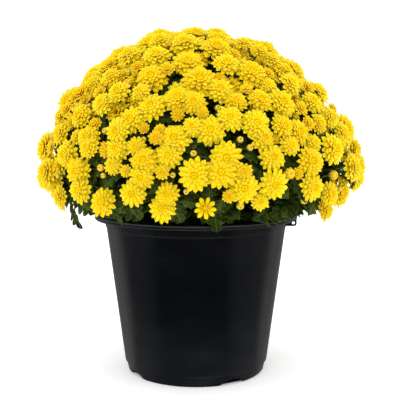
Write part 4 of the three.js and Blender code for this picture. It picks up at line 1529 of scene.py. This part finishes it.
@dataclass
class LeafyStem:
    """One stem from the potting mix up, with its flower stalks, cups, buds and leaves, as one piece."""

    number: int
    stem: Stem
    leaf: Leaf = field(default_factory=Leaf)
    small_leaf: Leaf = field(default_factory=lambda: Leaf(
        outline=(
            (0, 0.018), (0.16, 0.02), (0.29, 0.23), (0.39, 0.09), (0.52, 0.33), (0.63, 0.12), (0.75, 0.27),
            (0.88, 0.12), (1, 0.015),
        ),
        columns=2,
    ))
    stalk: Stalk = field(default_factory=Stalk)
    bud: BudShape = field(default_factory=BudShape)
    dome: Dome = field(default_factory=Dome)
    root_radius: float = 2.3
    hub_radius: float = 1.7
    stalk_radius: float = 0.95
    stalk_starts: tuple[float, float] = (0.62, 0.98)
    bloom_seat: float = 0.36
    bud_seat: float = 0.9
    cup_radii: tuple[float, float] = (0.10, 0.34)
    cup_height: float = 0.34
    cup_lift: float = 0.12
    cup_sides: int = 10
    small_leaves: int = 4
    hidden_leaves: int = 3
    hem_leaves: int = 3
    hem_height: float = 250
    first_bearer: int = 3
    small_lengths: tuple[float, float] = (24, 38)
    small_lift: tuple[float, float] = (0.0, 0.7)
    small_face_lift: float = 0.5
    small_droop: float = 0.05
    petal_clearance: float = 7
    inner_leaves: int = 16
    inner_start: float = 0.18
    inner_span: float = 0.8
    inner_jitter: float = 0.3
    inner_lengths: tuple[float, float] = (38, 60)
    inner_lift: tuple[float, float] = (0.2, 0.9)
    inner_droop: float = 0.12
    lowest_tip: float = 188

    def build(self, finishes: Sequence[bpy.types.Material]) -> bpy.types.Object:
        """Builds the stem.

        Args:
            finishes: the materials in the order of Green.

        Returns:
            The piece.
        """
        bm = bmesh.new()
        layers = GreenLayers.on(bm)
        draw = Draws(STEM_SEED + self.number)
        self.add_main_stem(bm)
        for bloom in self.stem.blooms:
            self.add_flower_stalk(bm, bloom, layers, draw)
        for bud, start in self.stem.buds:
            self.add_bud(bm, bud, start, layers, draw)
        for base, tip, face in self.stem.leaves:
            self.leaf.add(bm, base, tip, face, layers)
        self.add_inner_leaves(bm, layers, draw)
        piece = finish_mesh(bm, f"leafy_stem_{self.number:02d}", finishes)
        stand_for(piece, f"stem_{self.number:02d}")
        return piece

    def add_main_stem(self, bm: bmesh.types.BMesh) -> None:
        """Adds the stem from its root end to its hub."""
        stem = self.stem
        rise = (stem.hub - stem.collar).normalized()
        bend = self.stalk.curve(stem.collar, stem.hub, (UP + rise).normalized(), rise)
        line = [stem.root, *bend]
        taper = self.hub_radius - self.root_radius
        radii = [self.root_radius] * 2
        radii += [self.root_radius + taper * i / self.stalk.steps for i in range(1, self.stalk.steps + 1)]
        self.stalk.add(bm, line, radii)

    def add_thin_stalk(
        self, bm: bmesh.types.BMesh, start: Vector, seat: Vector, leaving: Vector, arriving: Vector,
    ) -> list[Vector]:
        """Adds the stalk of a bloom or bud, and returns the points of its line."""
        line = self.stalk.curve(start, seat, leaving, arriving)
        self.stalk.add(bm, line, [self.stalk_radius] * len(line))
        return line

    def leaf_tip(
        self, base: Vector, about: Vector, turn: float, lift: tuple[float, float],
        lengths: tuple[float, float], draw: Draws,
    ) -> Vector:
        """Where a leaf ends that spreads from a direction.

        Args:
            base: where the leaf starts.
            about: the direction that it spreads from.
            turn: its angle round that direction.
            lift: how far it may lean along that direction.
            lengths: how long it may be.
            draw: gives its lean and length.

        Returns:
            The tip.
        """
        side, other = cross_axes(about)
        away = side * math.cos(turn) + other * math.sin(turn) + about * draw(*lift)
        return base + away.normalized() * draw(*lengths)

    def keep_in(self, tip: Vector) -> Vector:
        """Draws a leaf's tip in under the blooms and over the rim."""
        tip = self.dome.tuck_under(tip)
        tip.z = max(tip.z, self.lowest_tip)
        return tip

    def add_flower_stalk(
        self, bm: bmesh.types.BMesh, bloom: Bloom, layers: GreenLayers, draw: Draws,
    ) -> None:
        """Adds a bloom's stalk, the green cup under its petals and the small leaves on it.

        Most leaves spread about the bloom's axis. Those that low blooms have besides lie level.
        """
        stem = self.stem
        start = stem.collar.lerp(stem.hub, draw(*self.stalk_starts))
        seat = bloom.place - bloom.axis * (self.bloom_seat * bloom.radius)
        leaving = (stem.hub - stem.collar).normalized()
        line = self.add_thin_stalk(bm, start, seat, leaving, bloom.axis)
        self.add_cup(bm, bloom, seat)
        count = self.hidden_leaves if bloom.form is BloomForm.HIDDEN else self.small_leaves
        abouts = [bloom.axis] * count
        if bloom.place.z < self.hem_height:
            abouts += [UP] * self.hem_leaves
        for about in abouts:
            base = line[int(draw(self.first_bearer, len(line) - 1.01))]
            turn = draw(0, TAU)
            tip = self.leaf_tip(base, about, turn, self.small_lift, self.small_lengths, draw)
            over = (tip - bloom.place).dot(bloom.axis) + self.petal_clearance
            if over > 0:
                tip = tip - bloom.axis * over
            face = (about + UP * self.small_face_lift).normalized()
            self.small_leaf.add(bm, base, self.keep_in(tip), face, layers, self.small_droop)

    def add_inner_leaves(self, bm: bmesh.types.BMesh, layers: GreenLayers, draw: Draws) -> None:
        """Adds the leaves that fill the plant behind its blooms, from the rim up."""
        stem = self.stem
        rise = (stem.hub - stem.collar).normalized()
        for i in range(self.inner_leaves):
            share = self.inner_start + self.inner_span * i / self.inner_leaves
            base = stem.collar.lerp(stem.hub, share)
            turn = i * math.radians(GOLDEN_ANGLE) + draw(-self.inner_jitter, self.inner_jitter)
            tip = self.leaf_tip(base, rise, turn, self.inner_lift, self.inner_lengths, draw)
            self.small_leaf.add(bm, base, self.keep_in(tip), rise, layers, self.inner_droop)

    def add_cup(self, bm: bmesh.types.BMesh, bloom: Bloom, seat: Vector) -> None:
        """Adds the shallow green cup that holds the petals' roots."""
        low_radius, high_radius = self.cup_radii
        made = bmesh.ops.create_cone(
            bm, cap_ends=True, segments=self.cup_sides, radius1=low_radius, radius2=high_radius,
            depth=self.cup_height,
        )["verts"]
        side, other = cross_axes(bloom.axis)
        for vert in made:
            x, y, z = vert.co * bloom.radius
            vert.co = seat + side * x + other * y + bloom.axis * (z + self.cup_lift * bloom.radius)

    def add_bud(
        self, bm: bmesh.types.BMesh, bud: Bud, start: Vector, layers: GreenLayers, draw: Draws,
    ) -> None:
        """Adds a bud on its stalk."""
        seat = bud.place - bud.axis * (self.bud_seat * bud.radius)
        self.add_thin_stalk(bm, start, seat, (seat - start).normalized(), bud.axis)
        self.bud.add(bm, bud, draw(0, TAU), layers)


# ---- pot and potting mix ------------------------------------------------------------------------
@dataclass
class NurseryPot:
    """The moulded pot: tapered wall, step at the foot, collar, flat lip, drain arches and tag lug."""

    base_radius: float = 77.5
    corner_rise: float = 2
    step_radius: float = 79.3
    step_height: float = 11.3
    wall_foot_radius: float = 81
    wall_top_radius: float = 101
    wall_top: float = 164.1
    collar_radius: float = 101.9
    lip_radius: float = 114
    lip_bottom: float = 173.4
    height: float = 178
    wall: float = 1.6
    floor: float = 1.8
    edge: float = 0.8
    brim: float = 1.4
    turns: int = 128
    sharp_angle: float = 0.35
    rounding: float = 0.25
    drain_count: int = 4
    drain_first: float = 31
    drain_width: float = 31
    drain_height: float = 6
    drain_depth: float = 13
    drain_sides: int = 64
    lug_azimuth: float = 84
    lug_thickness: float = 2.2
    lug_outer: float = 113.4
    lug_bottom: float = 164.6
    lug_corner: float = 3
    lug_corner_steps: int = 4
    lug_sink: float = 0.4
    lug_hole: float = 1.7
    lug_hole_sides: int = 24
    lug_inset: float = 3.6

    def inner_radius(self, height: float) -> float:
        """The radius of the inner wall at a height."""
        share = (height - self.step_height) / (self.wall_top - self.step_height)
        return self.step_radius + (self.wall_top_radius - self.step_radius) * share - self.wall

    def profile(self) -> list[tuple[float, float]]:
        """Radius and height of each corner of the section, from the axis under to the axis inside."""
        lip_inner = self.inner_radius(self.height - self.brim)
        return [
            (0, 0),
            (self.base_radius - self.corner_rise, 0),
            (self.base_radius, self.corner_rise),
            (self.step_radius, self.step_height),
            (self.wall_foot_radius, self.step_height + self.edge),
            (self.wall_top_radius, self.wall_top),
            (self.collar_radius, self.wall_top + self.edge),
            (self.collar_radius + self.edge, self.lip_bottom),
            (self.lip_radius - self.edge, self.lip_bottom),
            (self.lip_radius, self.lip_bottom + self.edge),
            (self.lip_radius, self.height - self.edge),
            (self.lip_radius - self.edge, self.height),
            (lip_inner + self.brim, self.height),
            (lip_inner, self.height - self.brim),
            (self.inner_radius(self.step_height), self.step_height),
            (self.base_radius - self.wall - self.brim, self.floor),
            (0, self.floor),
        ]

    def build(self, plastic: bpy.types.Material) -> bpy.types.Object:
        """Builds the pot.

        Args:
            plastic: its finish.

        Returns:
            The piece.
        """
        shell = finish_mesh(spin_section(self.profile(), self.turns), "nursery_pot", [plastic])
        lug = self.lug(plastic)
        cutters = [self.lug_drill(), *(self.drain_cutter(i) for i in range(self.drain_count))]
        for tool, operation in [(lug, "UNION"), *((cutter, "DIFFERENCE") for cutter in cutters)]:
            cut = shell.modifiers.new("cut", "BOOLEAN")
            cut.object = tool
            cut.operation = operation
            cut.solver = "EXACT"
        joined = bpy.data.meshes.new_from_object(shell.evaluated_get(bpy.context.evaluated_depsgraph_get()))
        shell.modifiers.clear()
        shell.data = joined
        for tool in (lug, *cutters):
            bpy.data.objects.remove(tool)
        self.round_edges(shell)
        stand_for(shell, "pot")
        return shell

    def lug(self, plastic: bpy.types.Material) -> bpy.types.Object:
        """The holed plate under the lip."""
        bm = bmesh.new()
        inner = self.wall_top_radius - self.lug_sink
        top = self.lip_bottom + self.lug_sink
        corner = self.lug_corner
        outline = [(inner, top), (inner, self.lug_bottom)]
        for i in range(self.lug_corner_steps + 1):
            turn = -math.pi / 2 + i * math.pi / (2 * self.lug_corner_steps)
            radius = self.lug_outer - corner + corner * math.cos(turn)
            outline.append((radius, self.lug_bottom + corner + corner * math.sin(turn)))
        outline.append((self.lug_outer, top))
        near = -self.lug_thickness / 2
        face = bm.faces.new([bm.verts.new((radius, near, height)) for radius, height in outline])
        grown = bmesh.ops.extrude_face_region(bm, geom=[face])["geom"]
        far_side = [item for item in grown if isinstance(item, bmesh.types.BMVert)]
        bmesh.ops.translate(bm, vec=(0, self.lug_thickness, 0), verts=far_side)
        bmesh.ops.recalc_face_normals(bm, faces=bm.faces[:])
        turn_shape(bm, self.lug_azimuth - 90)
        return finish_mesh(bm, "tag_lug", [plastic])

    def lug_drill(self) -> bpy.types.Object:
        """The round bar that cuts the hole of the tag lug."""
        bm = lying_bar(self.lug_hole, 3 * self.lug_thickness, self.lug_hole_sides)
        centre = (self.lug_outer - self.lug_inset, 0, self.lug_bottom + self.lug_inset)
        bmesh.ops.translate(bm, vec=centre, verts=bm.verts[:])
        turn_shape(bm, self.lug_azimuth - 90)
        return finish_mesh(bm, "lug_drill", [])

    def drain_cutter(self, number: int) -> bpy.types.Object:
        """The round bar that cuts one drain arch into the foot."""
        radius = ((self.drain_width / 2) ** 2 + self.drain_height ** 2) / (2 * self.drain_height)
        bm = lying_bar(radius, self.drain_depth, self.drain_sides)
        centre = (0, -self.base_radius, self.drain_height - radius)
        bmesh.ops.translate(bm, vec=centre, verts=bm.verts[:])
        turn_shape(bm, self.drain_first + 360 / self.drain_count * number)
        return finish_mesh(bm, f"drain_{number}", [])

    def round_edges(self, shell: bpy.types.Object) -> None:
        """Breaks the moulded edges, which gives each its thin line of light."""
        bm = bmesh.new()
        bm.from_mesh(shell.data)
        whole = [edge for edge in bm.edges if edge.is_manifold]
        sharp = [edge for edge in whole if edge.calc_face_angle() > self.sharp_angle]
        bmesh.ops.bevel(
            bm, geom=sharp, offset=self.rounding * MM, segments=2, profile=0.5, affect="EDGES",
            material=-1,
        )
        for face in bm.faces:
            face.smooth = True
        bm.to_mesh(shell.data)
        bm.free()


@dataclass
class PottingMix:
    """The crumbly fill of the pot, with bark chips on top."""

    pot: NurseryPot
    top: float = 153
    crown: float = 3
    gap: float = 0.6
    turns: int = 72
    crown_steps: int = 12
    swells: tuple[tuple[float, float], ...] = ((1.2, 0.09), (0.8, 0.3))  # height, and waves a mm
    chips: int = 160
    chip_sizes: tuple[tuple[float, float], ...] = ((1.5, 4.5), (1.0, 2.5), (0.6, 1.2))
    chip_tilt: float = 0.5
    chip_reach: float = 0.97
    chip_lift: float = 0.4
    chip_seed: int = 61

    def build(self, crumb: bpy.types.Material) -> bpy.types.Object:
        """Builds the fill.

        Args:
            crumb: its finish.

        Returns:
            The piece.
        """
        pot = self.pot
        foot = pot.floor + self.gap / 2
        reach = pot.inner_radius(self.top) - self.gap
        section = [(0, foot), (pot.base_radius - pot.wall - pot.brim - self.gap, foot)]
        section.append((pot.inner_radius(pot.step_height) - self.gap, pot.step_height))
        steps = self.crown_steps
        section += [
            (reach * (steps - i) / steps, self.top + self.crown * i / steps) for i in range(steps + 1)
        ]
        bm = spin_section(section, self.turns)
        for vert in bm.verts:
            if vert.co.z > self.top + MERGE_DISTANCE:
                vert.co.z += sum(height * noise.noise(vert.co * waves) for height, waves in self.swells)
        self.add_chips(bm, reach)
        piece = finish_mesh(bm, "moist_potting_mix", [crumb])
        stand_for(piece, "potting_mix")
        return piece

    def add_chips(self, bm: bmesh.types.BMesh, reach: float) -> None:
        """Scatters flat chips of bark over the top."""
        draw = Draws(self.chip_seed)
        for _ in range(self.chips):
            made = bmesh.ops.create_icosphere(bm, subdivisions=1, radius=1.0)["verts"]
            out = reach * self.chip_reach * math.sqrt(draw(0, 1))
            turn = draw(0, TAU)
            size = Vector([draw(*sizes) for sizes in self.chip_sizes])
            bmesh.ops.scale(bm, vec=size, verts=made)
            tilt = (-self.chip_tilt, self.chip_tilt)
            for axis, turns in (("X", tilt), ("Y", tilt), ("Z", (0, TAU))):
                matrix = Matrix.Rotation(draw(*turns), 3, axis)
                bmesh.ops.rotate(bm, cent=(0, 0, 0), matrix=matrix, verts=made)
            lift = self.top + self.crown * (1 - out / reach) + self.chip_lift
            spot = (out * math.cos(turn), out * math.sin(turn), lift)
            bmesh.ops.translate(bm, vec=spot, verts=made)


# ---- studio -------------------------------------------------------------------------------------
@dataclass(frozen=True)
class Panel:
    """A soft light panel: its place and what it looks at in mm, its size in metres and its power in watts."""

    name: str
    place: tuple[float, float, float]
    target: tuple[float, float, float]
    size: tuple[float, float]
    power: float

    def add(self) -> None:
        """Adds the panel to the scene."""
        data = bpy.data.lights.new(self.name, "AREA")
        data.shape = "RECTANGLE"
        data.size, data.size_y = self.size
        data.energy = self.power
        lamp = bpy.data.objects.new(self.name, data)
        place = Vector(self.place)
        lamp.location = place * MM
        lamp.rotation_euler = (Vector(self.target) - place).to_track_quat("-Z", "Y").to_euler()
        bpy.context.scene.collection.objects.link(lamp)


@dataclass
class Studio:
    """Pale paper, soft lights and the camera."""

    eye: tuple[float, float, float] = (0.0, -943.5, 293.7)
    pitch: float = 6.11
    lens: float = 75.5
    sensor: float = 36
    shift: float = 0.01
    sight: float = 100  # how far the camera sees, in metres
    paper: float = 12000
    daylight: float = 1.2
    panels: tuple[Panel, ...] = (
        Panel("key_panel", (-350, -1500, 1700), (0, 0, 230), (1.2, 1.2), 6.5),
        Panel("left_fill", (-1600, -700, 700), (0, 0, 260), (1.4, 1.0), 3),
        Panel("right_fill", (1600, -700, 700), (0, 0, 260), (1.4, 1.0), 4.5),
        Panel("top_panel", (0, -150, 2200), (0, 0, 200), (1.5, 1.5), 6),
        Panel("front_panel", (0, -1700, 200), (0, 0, 170), (3.0, 0.7), 0.8),
        Panel("left_panel", (-1500, 260, -100), (0, 0, 0), (2.4, 2.4), 2.1),
        Panel("right_panel", (1500, 0, -100), (0, 0, 0), (2.4, 2.4), 2.3),
        Panel("left_back_panel", (-1000, 1200, -50), (0, 0, 100), (1.6, 1.6), 1.8),
        Panel("right_back_panel", (1000, 1200, -50), (0, 0, 100), (1.6, 1.6), 1.8),
    )

    def build(self) -> None:
        """Sets the stage."""
        self.add_paper()
        self.add_camera()
        self.add_lights()
        view = bpy.context.scene.view_settings
        view.view_transform = "Standard"
        view.look = "None"

    def add_paper(self) -> None:
        """Lays the pale paper under the pot."""
        bm = bmesh.new()
        bmesh.ops.create_grid(bm, x_segments=8, y_segments=8, size=self.paper)
        paper = finish_mesh(bm, "backdrop_paper", [PaperFinish().make()])
        paper.visible_glossy = False

    def add_camera(self) -> None:
        """Stands the camera in front, a little above the rim and looking slightly down."""
        data = bpy.data.cameras.new("camera")
        data.sensor_width = self.sensor
        data.lens = self.lens
        data.shift_x = self.shift
        data.clip_end = self.sight
        camera = bpy.data.objects.new("camera", data)
        camera.location = Vector(self.eye) * MM
        camera.rotation_euler = (math.radians(90 - self.pitch), 0, 0)
        bpy.context.scene.collection.objects.link(camera)
        bpy.context.scene.camera = camera

    def add_lights(self) -> None:
        """Adds a bright room, a large front light, side fills and dim panels for the pot's sheen."""
        world = bpy.data.worlds.new("white_room")
        bpy.context.scene.world = world
        world.use_nodes = True
        background = world.node_tree.nodes["Background"]
        background.inputs["Color"].default_value = (1, 1, 1, 1)
        background.inputs["Strength"].default_value = self.daylight
        world.cycles_visibility.glossy = False
        for panel in self.panels:
            panel.add()


def main() -> None:
    """Builds every piece."""
    logging.basicConfig(level=logging.INFO, format="%(name)s: %(message)s")
    plant = Plant(Layout())
    log.info(
        "%d blooms, %d buds, %d large leaves", len(plant.blooms),
        sum(len(stem.buds) for stem in plant.stems), sum(len(stem.leaves) for stem in plant.stems),
    )
    petal = PetalFinish().make()
    greens = [StalkFinish().make(), LeafFinish().make(), BudFinish().make()]
    for number, stem in enumerate(plant.stems, start=1):
        Spray(number, stem.blooms).build(petal)
        LeafyStem(number, stem).build(greens)
    pot = NurseryPot()
    pot.build(PotPlastic().make())
    PottingMix(pot).build(PottingMixFinish().make())
    Studio().build()
    bpy.context.view_layer.update()


if __name__ == "__main__":
    main()
